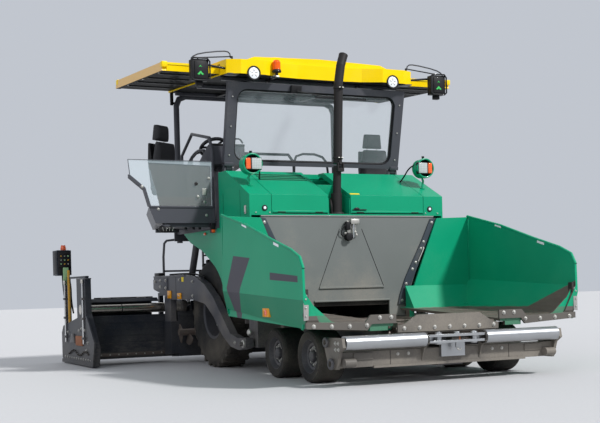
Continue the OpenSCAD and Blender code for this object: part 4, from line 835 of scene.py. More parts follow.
class PAVER_OT_hopper(Piece, bpy.types.Operator):
    """Apron bolts, wear plates, marks and lamps of the hopper, and the rubber joints of its wall"""
    bl_idname = "paver.hopper"
    bl_label = "Hopper fittings"

    def make(self):
        bolt = self.sizes.bolt
        apron = Shape("zinc")
        for x in (-0.527, -0.35, -0.173, 0.006, 0.184, 0.363, 0.541):
            apron.bolt((x, 0.190, 0.545), -Y, bolt)
        apron.use("mix steel")
        for x in (-0.30, 0.30):
            apron.block((x - 0.006, 0.24, 0.588), (x + 0.006, 2.16, 0.600), 0.002)
        apron.use("black plastic")
        apron.block((-0.60, 0.196, 0.490), (0.60, 0.206, 0.510))
        apron.done("apron_bolts", "chassis", "bright_steel")
        wall = Shape("flap rubber")
        for k in (-1, 1):
            strip = [
                (1.165, 1.772), (1.088, 1.760), (0.960, 1.500), (0.817, 1.240), (0.720, 1.060),
                (0.640, 0.860), (0.610, 0.740), (0.705, 0.740), (0.740, 0.860)]
            wall.use("flap rubber").plate([(k * x, z) for x, z in strip][::k], "y", 2.197, 0.012)
            wall.use("zinc")
            for x, z in (
                    (1.105, 1.715), (0.985, 1.482), (0.945, 1.402), (0.868, 1.236), (0.820, 1.157),
                    (0.728, 0.985), (0.665, 0.790)):
                wall.bolt((k * x, 2.197, z), -Y, 0.022, 0.006)
            wall.tube(
                [(k * 0.975, 2.196, 1.42), (k * 0.975, 2.184, 1.40), (k * 0.895, 2.184, 1.25),
                 (k * 0.895, 2.196, 1.24)], 0.006)
            # painted shade: thin black lines along the creases of the wall's pressed triangle
            wall.use("black plastic")
            wall.rod((k * 0.147, 2.2148, 1.64), (k * 0.430, 2.2148, 0.957), 0.0035, sides=8)
        # painted highlight: a pale grey strip along the lit top edge of the wall
        wall.use("light grey").block((-1.14, 2.205, 1.782), (1.14, 2.238, 1.794))
        wall.use("wall grey").block((-0.50, 2.196, 0.795), (0.50, 2.216, 0.815), 0.004)
        wall.use("black plastic").block((-0.50, 2.240, 0.745), (0.50, 2.246, 0.866), 0.002)
        wall.use("zinc").block((-0.025, 2.150, 1.690), (0.088, 2.200, 1.752), 0.006)
        wall.block((-0.060, 2.188, 1.590), (0.062, 2.214, 1.730), 0.004)
        wall.use("black plastic").block((-0.088, 2.150, 1.625), (-0.030, 2.205, 1.722), 0.010)
        wall.rod((-0.045, 2.150, 1.545), (-0.045, 2.212, 1.545), 0.045, sides=24, soft=0.005)
        wall.use("chrome").rod((0.012, 2.160, 1.690), (0.009, 2.160, 1.535), 0.011)
        wall.use("zinc")
        for x, z in ((-0.082, 1.588), (0.052, 1.600), (0.064, 1.570)):
            wall.bolt((x, 2.190, z), -Y, 0.018, 0.008)
        wall.use("black plastic")
        wall.hose(
            [(-0.06, 2.17, 1.70), (-0.12, 2.16, 1.66), (-0.15, 2.19, 1.58), (-0.10, 2.195, 1.55)], 0.006)
        wall.done("wall_fittings", "chassis", "grey_paint")
        for side, word in SIDES:
            wing = Shape("zinc")
            for x, z in (
                    (0.672, 0.661), (0.800, 0.661), (0.945, 0.590), (1.135, 0.588), (1.330, 0.592),
                    (1.522, 0.598)):
                wing.bolt((x, 0.191, z), -Y, bolt)
            wing.use("black plastic").block((1.566, 0.196, 0.690), (1.604, 0.262, 0.955), 0.006)
            wing.use("light grey")
            wing.plate(
                [(1.578, 0.662), (1.574, 0.808), (1.586, 0.903), (1.626, 0.903), (1.628, 0.655)],
                "y", 0.184, 0.010)
            wing.use("zinc")
            for z in (0.700, 0.780, 0.860):
                wing.bolt((1.605, 0.184, z), -Y, 0.016, 0.006, False)
            wing.use("reflector white")
            for y0, z0 in ((1.490, 1.606), (0.700, 1.372)):
                mark = [(y0, z0), (y0 + 0.120, z0 + 0.033), (y0 + 0.120, z0 + 0.060), (y0, z0 + 0.027)]
                wing.plate(mark, "x", 1.6036, 0.004, 0.0008, 1)
                wing.plate(mark, "x", 1.6315, 0.003, 0.0008, 1)
            # marker lamp on the folded foot of the side
            wing.use("reflector amber").block((1.570, 1.030, 0.680), (1.606, 1.195, 0.772), 0.006)
            wing.use("amber lens")
            wing.rod((1.606, 1.112, 0.726), (1.609, 1.112, 0.726), 0.034, sides=24, soft=0.001)
            wing.use("body green")
            wing.block((1.596, 2.150, 0.965), (1.604, 2.168, 1.755))
            wing.block((0.712, 0.216, 0.540), (0.884, 0.236, 0.606), 0.004)
            wing.tube([(1.596, 0.262, 0.62), (1.612, 0.255, 0.57)], 0.012)
            wing.use("mix steel")
            for y0 in (0.55, 0.95, 1.35, 1.75):
                z0 = 0.612 + (y0 - 0.215) * 0.0524
                wing.block((0.70, y0, z0), (1.30, y0 + 0.006, z0 + 0.0045), 0.001, 1)
            wing.done("wing_fittings_" + word, "wing_" + word, "bright_steel", side)


class PAVER_OT_push_bar(Piece, bpy.types.Operator):
    """Collars, coupling pin, hook, bosses and seams of the push bar"""
    bl_idname = "paver.push_bar"
    bl_label = "Push bar fittings"

    def make(self):
        bar = Shape("black plastic")
        y, z = ROLLER
        for k in (-1, 1):
            bar.use("black plastic")
            bar.lathe(
                [(0.026, 0.0), (0.066, 0.0), (0.070, 0.006), (0.070, 0.016), (0.062, 0.022),
                 (0.026, 0.022)], (k * 0.3545 - (0.022 if k > 0 else 0), y, z), X, 36)
            bar.use("frame grey")
            for y0, z0, r in ((0.350, 0.436, 0.045), (0.250, 0.230, 0.050)):
                bar.lathe(
                    [(r * 0.62, 0), (r, 0), (r + 0.006, 0.006), (r + 0.006, 0.020), (r, 0.026),
                     (r * 0.62, 0.026)], (k * 1.320 - 0.013, y0, z0), X, 32)
            bar.use("zinc")
            for dy, dz in ((-0.03, 0.03), (0.03, 0.03), (-0.03, -0.03), (0.03, -0.03)):
                bar.bolt((k * 1.2955, 0.16 + dy, 0.40 + dz), X * k, 0.022, 0.010)
            bar.use("black plastic")
            bar.block((k * 0.706 - 0.003, 0.167, 0.192), (k * 0.706 + 0.003, 0.172, 0.338), 0.001, 1)
            bar.use("beam grey").block((k * 0.90, 0.158, 0.26), (k * 1.12, 0.172, 0.33), 0.004)
            bar.use("zinc")
            for x in (0.50, 0.62, 0.95, 1.07):
                bar.bolt((k * x, 0.1695, 0.300), -Y, 0.020, 0.008)
        bar.use("black plastic").block((-0.086, 0.020, 0.420), (0.000, 0.118, 0.448), 0.004)
        bar.block((0.026, 0.020, 0.420), (0.086, 0.118, 0.448), 0.004)
        bar.use("rust").rod((0.012, 0.034, 0.400), (0.012, 0.034, 0.470), 0.012, sides=20)
        bar.use("bright steel")
        for x in (-0.21, 0.21):
            bar.rod((x, 0.070, 0.376), (x, 0.070, 0.492), 0.034, sides=28, soft=0.003)
            bar.rod((x, 0.070, 0.488), (x, 0.070, 0.500), 0.018, sides=6, soft=0.001)
        bar.rod((0, 0.060, 0.470), (0, 0.060, 0.496), 0.030, sides=28, soft=0.004)
        bar.use("zinc")
        bar.hose(
            [(0.0, 0.060, 0.345), (0.0, 0.050, 0.318), (0.018, 0.035, 0.312), (0.030, 0.032, 0.330)], 0.008)
        bar.done("push_bar_fittings", "push_bar", "dark_paint")
        for side, word in SIDES:
            roller = Shape("bright steel")
            for x0, x1 in ((0.356, 0.372), (1.238, 1.2555)):
                roller.lathe(
                    [(0.0262, 0.0), (0.064, 0.0), (0.0712, 0.003), (0.0712, x1 - x0 - 0.003),
                     (0.064, x1 - x0), (0.0262, x1 - x0)], (x0, y, z), X, 48)
            roller.done("roller_rims_" + word, "roller_" + word, "bright_steel", side)


class PAVER_OT_body(Piece, bpy.types.Operator):
    """Louvres, seams, catches and lamps on the green sheets, and the collars of the exhaust"""
    bl_idname = "paver.body"
    bl_label = "Body fittings"

    def make(self):
        right, left = Shape("body green"), Shape("body green")
        for part, x0, x1 in ((right, -1.0, -0.284), (left, 0.012, 1.0)):
            part.use("body green").block((x0 + 0.010, 2.209, 1.826), (x1 - 0.010, 2.217, 1.850), 0.004)
            part.use("black plastic")
            for x in (x0 + 0.12, x1 - 0.12):
                part.block((x - 0.05, 2.206, 1.826), (x + 0.05, 2.216, 1.838))
        # painted shadow: dark green bars in the shade under the lips of the right lid's louvres
        right.use("louvre shadow green")
        for y in (2.640, 2.690, 2.740, 2.790):
            z = HOOD_FOOT[1] + (y - HOOD_FOOT[0]) * HOOD_RISE
            right.block((-0.945, y - 0.005, z - 0.003), (-0.340, y + 0.001, z + 0.011), 0.001, 1)
        left.use("black plastic").block((0.030, 2.196, 1.858), (0.215, 2.214, 1.868), 0.004)
        left.ball((0.085, 2.204, 1.872), 0.024, (1.6, 0.5, 0.7))
        left.use("label yellow").pose = about((0, 2.235, 2.04), "X", math.degrees(math.atan(HOOD_RISE)))
        left.block((0.024, 2.240, 2.0405), (0.150, 2.275, 2.0425), 0.0005, 1)
        left.pose = LEVEL
        left.use("body green")
        left.plate([(0.40, 2.40), (0.62, 2.40), (0.62, 2.62), (0.40, 2.62)], "z", 2.10, 0.002, 0)
        for word, part in (("right", right), ("left", left)):
            part.done("lid_fittings_" + word, "hood_" + word, "green_paint")
        body = Shape("body green")
        for k in (-1, 1):
            body.use("black plastic")
            body.rod((k * 1.090, 2.2155, 1.877), (k * 1.090, 2.207, 1.877), 0.034, sides=32, soft=0.003)
            body.use("reflector white")
            body.rod((k * 1.090, 2.209, 1.877), (k * 1.090, 2.203, 1.877), 0.017, sides=24, soft=0.002)
            body.use("zinc").block((k * 1.272, 2.300, 1.815), (k * 1.288, 2.345, 1.915), 0.005)
            body.rod((k * 1.286, 2.322, 1.835), (k * 1.286, 2.322, 1.905), 0.009)
            # seams and catches of the side sheet's doors
            body.use("black plastic")
            for y in (2.480, 2.985):
                body.block((k * 1.274, y - 0.003, 1.02), (k * 1.2762, y + 0.003, 2.10), 0.0005, 1)
            body.block((k * 1.274, 2.480, 1.015), (k * 1.2762, 2.985, 1.021), 0.0005, 1)
            body.rod((k * 1.274, 2.930, 1.50), (k * 1.281, 2.930, 1.50), 0.024, sides=24, soft=0.002)
            body.block((k * 1.274, 3.020, 1.42), (k * 1.284, 3.040, 1.60), 0.004)
            # intake slats behind the front wheels
            for i in range(7):
                z = 1.18 + i * 0.045
                body.use("black plastic")
                body.block((k * 1.274, 2.56, z), (k * 1.277, 2.90, z + 0.020), 0.001, 1)
                body.use("body green").pose = about((k * 1.279, 2.7, z + 0.02), "Y", k * 28)
                body.block((k * 1.273, 2.55, z + 0.016), (k * 1.286, 2.91, z + 0.022), 0.001, 1)
                body.pose = LEVEL
            body.use("amber lens").block((k * 1.274, 3.56, 1.640), (k * 1.290, 3.62, 1.672), 0.004)
            body.use("frame grey").block((k * 1.262, 3.205, 1.694), (k * 1.281, 4.345, 1.706))
            for x in (1.03, 1.20):
                body.use("zinc").bolt((k * x, 2.2145, 1.825), -Y, 0.014, 0.005, False)
        # collar and cowl at the foot of the exhaust
        body.use("soot black")
        body.lathe(
            [(0.056, 0.0), (0.086, 0.0), (0.090, 0.012), (0.080, 0.030), (0.062, 0.036), (0.056, 0.036)],
            (-0.118, 2.330, 1.808), Z, 40)
        body.hose(
            [(-0.20, 2.30, 1.82), (-0.21, 2.28, 1.92), (-0.19, 2.34, 1.98), (-0.15, 2.36, 2.02)], 0.014)
        body.use("black plastic").block((-0.268, 2.226, 1.8115), (-0.004, 2.60, 1.816), 0.001, 1)
        body.done("body_fittings", "chassis", "green_paint")
        pipe = Shape("soot black")
        lean = Vector((0.038, 0, 0.942)).normalized()
        for z in (2.46, 3.28):
            foot = Vector((-0.088 + 0.0403 * (z - 2.408), 2.330, z))
            pipe.lathe([(0.0528, 0), (0.0600, 0.002), (0.0605, 0.022), (0.0528, 0.024)], foot, lean, 36)
            pipe.use("zinc")
            pipe.rod(foot + Vector((0.03, -0.075, 0.012)), foot + Vector((-0.03, -0.075, 0.012)), 0.006)
            pipe.use("soot black")
            pipe.block(foot + Vector((-0.012, -0.082, 0)), foot + Vector((0.012, -0.052, 0.024)), 0.003)
        mouth = Vector((0.045, 2.370, 3.690))
        way = Vector((0.055, 0.030, 0.130)).normalized()
        pipe.lathe(
            [(0.040, -0.03), (0.0525, -0.03), (0.0550, 0.0), (0.0545, 0.006), (0.046, 0.006), (0.040, 0.0)],
            mouth, way, 36)
        pipe.use("black plastic").rod(mouth - way * 0.008, mouth + way * 0.0015, 0.046, sides=32)
        pipe.done("exhaust_collars", "exhaust_stack", "black_iron")


class PAVER_OT_headlights(Piece, bpy.types.Operator):
    """Lenses, bezels, knobs and stays of the headlights"""
    bl_idname = "paver.headlights"
    bl_label = "Headlights"

    def make(self):
        lamps = Shape("clear lens")
        for k in (-1, 1):
            x, y, z = k * HEADLIGHT[0], 2.372, HEADLIGHT[1]
            lamps.use("black plastic")
            lamps.block((x - k * 0.112, y - 0.006, z - 0.072), (x + k * 0.026, y + 0.05, z + 0.072), 0.012)
            lamps.use("clear lens")
            lamps.block((x - k * 0.104, y - 0.016, z - 0.063), (x + k * 0.018, y, z + 0.063), 0.010, 3)
            lamps.use("amber lens")
            lamps.block(
                (x + k * 0.030, y - 0.014, z - 0.063), (x + k * 0.088, y + 0.05, z + 0.063), 0.010, 3)
            lamps.use("body green")
            turns = [math.tau * i / 28 for i in range(29)]
            lamps.tube([(x + 0.112 * math.cos(a), 2.378, z + 0.112 * math.sin(a)) for a in turns], 0.010, 8)
            lamps.use("black plastic")
            lamps.rod((x, 2.43, z + 0.112), (x, 2.43, z + 0.150), 0.013, 0.018, sides=16, soft=0.002)
            lamps.hose(
                [(x - k * 0.090, 2.46, z + 0.05), (x - k * 0.150, 2.52, z + 0.01),
                 (x - k * 0.180, 2.60, z - 0.10), (x - k * 0.215, 2.70, z - 0.19)], 0.009)
            lamps.use("zinc").bolt((x, 2.40, z - 0.112), -Z, 0.018, 0.010)
        lamps.done("headlight_fittings", "chassis", "black_plastic")


class PAVER_OT_roof(Piece, bpy.types.Operator):
    """Discs, seams, ribs and rails of the roof, the window's rubber and wiper, and the signal boxes"""
    bl_idname = "paver.roof"
    bl_label = "Roof fittings"

    def make(self):
        roof = Shape("black plastic")
        for k in (-1, 1):
            x, y, z = k * 0.940, 2.756, 3.495
            roof.use("reflector white")
            roof.lathe(
                [(0.0, 0.0), (0.0, -0.008), (0.055, -0.012), (0.068, -0.006), (0.068, 0.0)],
                (x, y, z), Y, 36)
            roof.use("black plastic")
            roof.lathe([(0.068, 0.0), (0.068, -0.012), (0.084, -0.012), (0.084, 0.0)], (x, y, z), Y, 36)
            for i in range(5):
                roof.use("zinc").pose = about((x, y, z), "Y", 72 * i)
                roof.block((x - 0.006, y - 0.0135, z + 0.018), (x + 0.006, y - 0.008, z + 0.052), 0.002)
            roof.pose = LEVEL
            # signal box face with its arrow, and the loop that guards it
            bx = k * 1.610
            roof.use("black plastic").block((bx - 0.104, 2.752, 3.368), (bx + 0.104, 2.762, 3.616), 0.004)
            roof.block((bx - 0.070, 2.744, 3.395), (bx + 0.070, 2.753, 3.590), 0.004)
            roof.use("green signal")
            roof.plate(
                [(bx - 0.040, 3.440), (bx, 3.480), (bx + 0.040, 3.440), (bx + 0.018, 3.432), (bx, 3.450),
                 (bx - 0.018, 3.432)], "y", 2.740, 0.005, 0.0008, 1)
            roof.plate(
                [(bx - 0.020, 3.520), (bx, 3.545), (bx + 0.020, 3.520), (bx, 3.530)],
                "y", 2.740, 0.005, 0.0008, 1)
            loop = [
                (-0.115, 3.590), (-0.115, 3.400), (-0.085, 3.372), (0.085, 3.372), (0.115, 3.400),
                (0.115, 3.590), (0.085, 3.626), (-0.085, 3.626), (-0.115, 3.590)]
            roof.use("black plastic").tube([(bx + dx, 2.742, dz) for dx, dz in loop], 0.010, 8)
            roof.block((bx - 0.03, 2.80, 3.320), (bx + 0.05, 2.86, 3.372), 0.008)
            # grab rail and stay along the canopy's front edge
            roof.use("frame grey")
            roof.hose(
                [(k * 1.195, 2.84, 3.668), (k * 1.210, 2.83, 3.735), (k * 1.30, 2.82, 3.742),
                 (k * 1.60, 2.79, 3.690), (k * 1.70, 2.79, 3.640), (k * 1.70, 2.80, 3.600)], 0.008, 1, 8)
            roof.block((k * 1.10, 2.80, 3.478), (k * 1.25, 2.93, 3.490), 0.004)
        # beacon foot and clamp
        roof.use("zinc").block((-0.675, 2.772, 3.476), (-0.605, 2.86, 3.490))
        roof.rod((-0.660, 2.750, 3.470), (-0.620, 2.750, 3.470), 0.014)
        roof.use("black plastic")
        roof.lathe(
            [(0.0, 0.0), (0.052, 0.0), (0.056, 0.010), (0.050, 0.030), (0.0, 0.030)],
            (-0.640, 2.765, 3.520), Z, 36)
        # raised middle of the skin, in three steps
        for y0, y1 in ((3.06, 3.60), (3.66, 4.20), (4.26, 4.76)):
            z0 = roof_height(y0) + 0.238
            roof.use("roof yellow")
            roof.pose = about((0, y0, z0), "X", ROOF_PITCH)
            roof.block((-0.55, y0, z0), (0.55, y1, z0 + 0.030), 0.012)
            roof.pose = LEVEL
        # beams, rails and lamp under the roof
        for y in (3.10, 3.90, 4.70):
            z = roof_height(y)
            roof.use("frame grey").block((-1.20, y, z - 0.040), (1.20, y + 0.06, z - 0.001), 0.004)
        for x in (-0.62, 0.62):
            roof.use("black plastic").tube([(x, 3.05, 3.470), (x, 4.70, 3.556)], 0.018)
        roof.use("zinc").block((-0.30, 3.16, 3.440), (0.30, 3.42, 3.476), 0.006)
        roof.done("roof_fittings", "roof", "black_plastic")
        pitch = math.radians(ROOF_PITCH)
        for side, word in SIDES:
            edge = Shape("roof yellow")
            edge.pose = Matrix.Translation((0, *ROOF_EDGE)) @ Matrix.Rotation(pitch, 4, "X")
            edge.block((1.905, 0.100, 0.060), (1.975, 0.175, 0.128), 0.010)
            edge.block((1.905, 1.850, 0.060), (1.975, 1.925, 0.128), 0.010)
            edge.use("label yellow").block((1.262, 0.112, 0.090), (1.91, 0.122, 0.102), 0.002)
            edge.use("black plastic")
            for y in (0.35, 0.75, 1.15, 1.55):
                edge.block((1.28, y, 0.008), (1.92, y + 0.035, 0.0185))
            edge.use("zinc")
            for y in (0.30, 0.9, 1.5):
                edge.bolt((1.94, y, 0.018), -Z, 0.018, 0.006)
            edge.done("canopy_trim_" + word, "canopy_" + word, "yellow_paint", side)
        self.window()

    def window(self):
        """Rubber, wiper and corner pads of the window, drawn upright and then leaned back with it."""
        lean, length = math.atan2(0.230, 1.030), math.hypot(0.230, 1.030)
        window = Shape("black plastic")
        window.pose = Matrix.Translation((0, 3.160, 2.420)) @ Matrix.Rotation(lean, 4, "X")
        low, high, wide, r = 0.090, length - 0.110, 1.080, 0.130
        corners = (
            (wide - r, low + r, -90), (wide - r, high - r, 0), (-wide + r, high - r, 90),
            (-wide + r, low + r, 180))
        line = []
        for cx, cz, begin in corners:
            for i in range(7):
                a = math.radians(begin + 15 * i)
                line.append((cx + (r - 0.008) * math.cos(a), 0.0, cz + (r - 0.008) * math.sin(a)))
        line.append(line[0])
        window.tube(line, 0.016, 8)
        window.block((-0.40, -0.075, high - 0.020), (-0.26, -0.035, high + 0.075), 0.008)
        window.tube(
            [(-0.33, -0.085, high + 0.01), (0.05, -0.075, high - 0.035), (0.62, -0.045, high - 0.050)],
            0.007, 8)
        window.block((-0.05, -0.035, high - 0.062), (0.66, -0.022, high - 0.044))
        window.use("zinc")
        for x in (-1.14, 1.14):
            for z in (0.16, 0.5, 0.85):
                window.bolt((x, -0.035, z), -Y, 0.018, 0.006, False)
        window.use("frame grey")
        for k in (-1, 1):
            window.block((k * 1.08, -0.05, 0.03), (k * 1.20, 0.045, 0.075), 0.006)
        window.pose = LEVEL
        window.done("window", "roof_front_frame", "black_plastic")


class PAVER_OT_stations(Piece, bpy.types.Operator):
    """Rails, mats and lamps of the stations, and the screen, levers and driving desk of the right one"""
    bl_idname = "paver.stations"
    bl_label = "Stations"

    def make(self):
        for side, word in SIDES:
            part = Shape("frame grey")
            part.pose = Matrix.Translation((STATION_IN[side], 0, 0))
            # slide rails and the beam that carries the tray
            part.block((1.290, 3.250, 1.722), (1.930, 3.300, 1.764), 0.004)
            part.block((1.290, 4.480, 1.722), (1.600, 4.530, 1.764), 0.004)
            part.use("soot black").block((1.300, 3.330, 1.735), (1.80, 3.420, 1.764), 0.004)
            part.use("black plastic")
            for x in (1.42, 1.50, 1.60):
                part.rod((x, 3.40, 1.700), (x, 3.40, 1.764), 0.016)
            # work lamp under the tray, with its cage
            part.ball((1.900, 3.256, 1.700), 0.075, (1.25, 0.9, 0.62), 24)
            part.use("zinc")
            for i in range(4):
                part.tube([(1.83 + i * 0.045, 3.184, 1.715), (1.845 + i * 0.036, 3.186, 1.672)], 0.003, 6)
            part.use("amber lens").block((1.300, 3.196, 1.655), (1.345, 3.216, 1.690), 0.005)
            part.use("black plastic").block((1.295, 3.205, 1.650), (1.350, 3.260, 1.768), 0.005)
            part.use("frame grey").block((1.300, 3.206, 1.945), (2.100, 3.246, 1.968), 0.004)
            part.block((1.290, 3.210, 1.768), (1.310, 3.236, 1.965))
            # rubber mat on the floor
            part.use("black plastic")
            part.plate(
                [(1.33, 3.28), (1.975, 3.28), (1.585, 4.54), (1.33, 4.54)], "z", 1.7893, 0.008, 0.003)
            for i in range(21):
                y = 3.30 + i * 0.058
                part.block((1.35, y, 1.796), (1.955 - (y - 3.28) * 0.306, y + 0.02, 1.800), 0.001, 1)
            part.use("zinc")
            for x, z in ((1.40, 1.86), (2.00, 1.93)):
                part.bolt((x, 3.216, z), -Y, 0.020, 0.008)
            if side < 0:
                self.screen(part)
            part.done("station_fittings_" + word, "station_" + word, "dark_paint", side)
        self.desk()

    def screen(self, part):
        """Bolts and edge of the right station's screen, and its thin rails."""
        part.use("zinc")
        for x, z in ((2.19, 2.19), (1.42, 2.02), (1.50, 2.08), (1.36, 2.30)):
            part.bolt((x, 3.217, z), -Y, 0.020, 0.008)
        part.use("soot black")
        part.rod((1.521, 3.210, 2.234), (1.521, 3.218, 2.234), 0.020, sides=24, soft=0.002)
        part.use("zinc").block((1.395, 3.214, 2.100), (1.445, 3.218, 2.175), 0.001, 1)
        part.use("frame grey")
        part.tube([(1.322, 3.220, 2.502), (2.352, 3.220, 2.502), (2.334, 3.220, 2.330)], 0.005, 8)
        part.hose(
            [(1.295, 4.250, 2.30), (1.295, 4.060, 2.60), (1.295, 3.750, 2.70), (1.275, 3.560, 2.68)], 0.014)
        part.use("zinc")
        for y in (3.256, 4.296):
            part.lathe(
                [(0.0192, 0), (0.036, 0), (0.036, 0.008), (0.0192, 0.008)], (1.295, y, 1.7895), Z, 24)

    def desk(self):
        """Driving desk with its buttons and steering wheel, on the right station."""
        desk = Shape("black plastic")
        desk.block((-1.285, 3.270, 2.700), (-0.855, 3.420, 2.728), 0.008)
        desk.pose = about((-1.07, 3.42, 2.72), "X", -28)
        desk.block((-1.275, 3.425, 2.712), (-0.865, 3.700, 2.735), 0.008)
        desk.use("light grey").block((-1.230, 3.470, 2.734), (-1.090, 3.590, 2.739), 0.002)
        desk.use("black plastic").block((-1.222, 3.478, 2.738), (-1.098, 3.582, 2.741), 0.002)
        for i in range(6):
            for j in range(3):
                spot = Vector((-1.060 + i * 0.030, 3.480 + j * 0.045, 2.735))
                desk.use(BUTTONS[(i + j) % len(BUTTONS)])
                desk.rod(spot, spot + Z * 0.009, 0.009, sides=12, soft=0.001)
        desk.use("black plastic")
        desk.rod((-0.93, 3.66, 2.73), (-0.93, 3.66, 2.81), 0.010).ball((-0.93, 3.66, 2.82), 0.020)
        desk.pose = LEVEL
        desk.hose(
            [(-1.07, 3.30, 2.700), (-1.02, 3.29, 2.780), (-0.92, 3.28, 2.800), (-0.88, 3.28, 2.740)], 0.010)
        desk.use("frame grey").block((-1.16, 3.41, 1.79), (-1.0, 3.645, 1.80), 0.004)
        desk.use("black plastic")
        desk.lathe(
            [(0.150, -0.016), (0.176, -0.020), (0.190, 0.0), (0.176, 0.020), (0.150, 0.016)],
            (-1.070, 3.756, 2.740), Matrix.Rotation(math.radians(-34), 3, "X") @ Z, 48)
        desk.done("driving_desk", "station_right", "black_plastic")


class PAVER_OT_seats(Piece, bpy.types.Operator):
    """Padded seats with their shells, armrests and headrests"""
    bl_idname = "paver.seats"
    bl_label = "Seats"

    def pad(self, name, body, side, place, outline, axis_lean, centre, size, crown):
        """A crowned cushion: a cube cut into a grid, pinched at its edges and swelled in its middle."""
        form = bmesh.new()
        bmesh.ops.create_cube(form, size=1.0)
        bmesh.ops.subdivide_edges(form, edges=form.edges, cuts=9, use_grid_fill=True)
        for vert in form.verts:
            u, v, w = vert.co * 2
            top = 1 if w > 0 else 0
            edge = max(abs(u), abs(v))
            swell = (1 - u ** 4) * (1 - v ** 4)
            x = u * outline(v) * size[0] / 2 * (1 - 0.06 * w * w)
            rim = 1 - 0.45 * max(0.0, edge - 0.72) / 0.28
            channel = 0.007 * sum(math.exp(-((v - line) / 0.06) ** 2) for line in (-0.35, 0.05, 0.45))
            depth = w * size[2] / 2 * rim + (crown * swell - channel * top) * (1 if top else 0.2)
            bolster = 0.020 * max(0.0, abs(u) - 0.62) / 0.38 * top
            vert.co = Vector((x, v * size[1] / 2, depth + bolster * swell * 3))
        lay = place @ Matrix.Translation(centre) @ Matrix.Rotation(math.radians(axis_lean), 4, "X")
        bmesh.ops.transform(form, matrix=lay, verts=form.verts)
        shape = Shape("seat cover")
        shape.add(form)
        piece = shape.done(name, body, "seat_black", side, angle=80)
        soft = piece.modifiers.new("soft", "SUBSURF")
        soft.levels = 1
        soft.render_levels = 1

    def make(self):
        for side, word in SIDES:
            body = "seat_" + word
            x, y, z = SEAT
            place = Matrix.Translation((STATION_IN[side], 0, 0)) @ about(SEAT, "Z", -SEAT_TURN[side])
            shell = Shape("black plastic")
            shell.pose = place
            shell.lathe(
                [(0.03, 0.0), (0.100, 0.0), (0.100, 0.014), (0.085, 0.030), (0.03, 0.030)], (x, y, z), Z,
                36)
            for i in range(5):
                low, wide = 0.028 + i * 0.014, 0.165 - (i % 2) * 0.012
                shell.use("rubber")
                shell.block((x - wide, y - wide, z + low), (x + wide, y + wide, z + low + 0.013), 0.005)
            shell.use("black plastic")
            shell.block((x - 0.215, y - 0.235, z + 0.092), (x + 0.215, y + 0.215, z + 0.112), 0.008)
            shell.plate(
                [(y + 0.212, z + 0.100), (y + 0.190, z + 0.130), (y + 0.262, z + 0.740),
                 (y + 0.288, z + 0.740), (y + 0.300, z + 0.500), (y + 0.252, z + 0.110)], "x", x - 0.190,
                0.380, 0.012)
            for k in (-1, 1):
                shell.use("black plastic")
                shell.plate(
                    [(y - 0.180, z + 0.318), (y - 0.180, z + 0.346), (y + 0.200, z + 0.352),
                     (y + 0.225, z + 0.300), (y + 0.100, z + 0.300)], "x", x + k * 0.245 - 0.027, 0.054,
                    0.012)
                shell.use("zinc")
                shell.block(
                    (x + k * 0.218 - 0.008, y + 0.150, z + 0.300),
                    (x + k * 0.218 + 0.008, y + 0.215, z + 0.345), 0.004)
                shell.rod(
                    (x + k * 0.075, y + 0.236, z + 0.700), (x + k * 0.075, y + 0.232, z + 0.830), 0.007)
            shell.done("seat_shell_" + word, body, "black_plastic", side, ["seat_" + word])
            self.pad(
                "seat_cushion_" + word, body, side, place, lambda v: 1.0 + 0.03 * v, 3,
                (x, y - 0.020, z + 0.152), (0.470, 0.500, 0.085), 0.018)
            self.pad(
                "seat_back_" + word, body, side, place,
                lambda v: 1.0 - 0.10 * max(0.0, v) ** 2 - 0.06 * (v + 1), 96, (x, y + 0.196, z + 0.450),
                (0.450, 0.600, 0.095), 0.016)
            self.pad(
                "seat_headrest_" + word, body, side, place, lambda v: 1.0 - 0.08 * (v + 1), 94,
                (x, y + 0.228, z + 0.872), (0.290, 0.190, 0.090), 0.010)


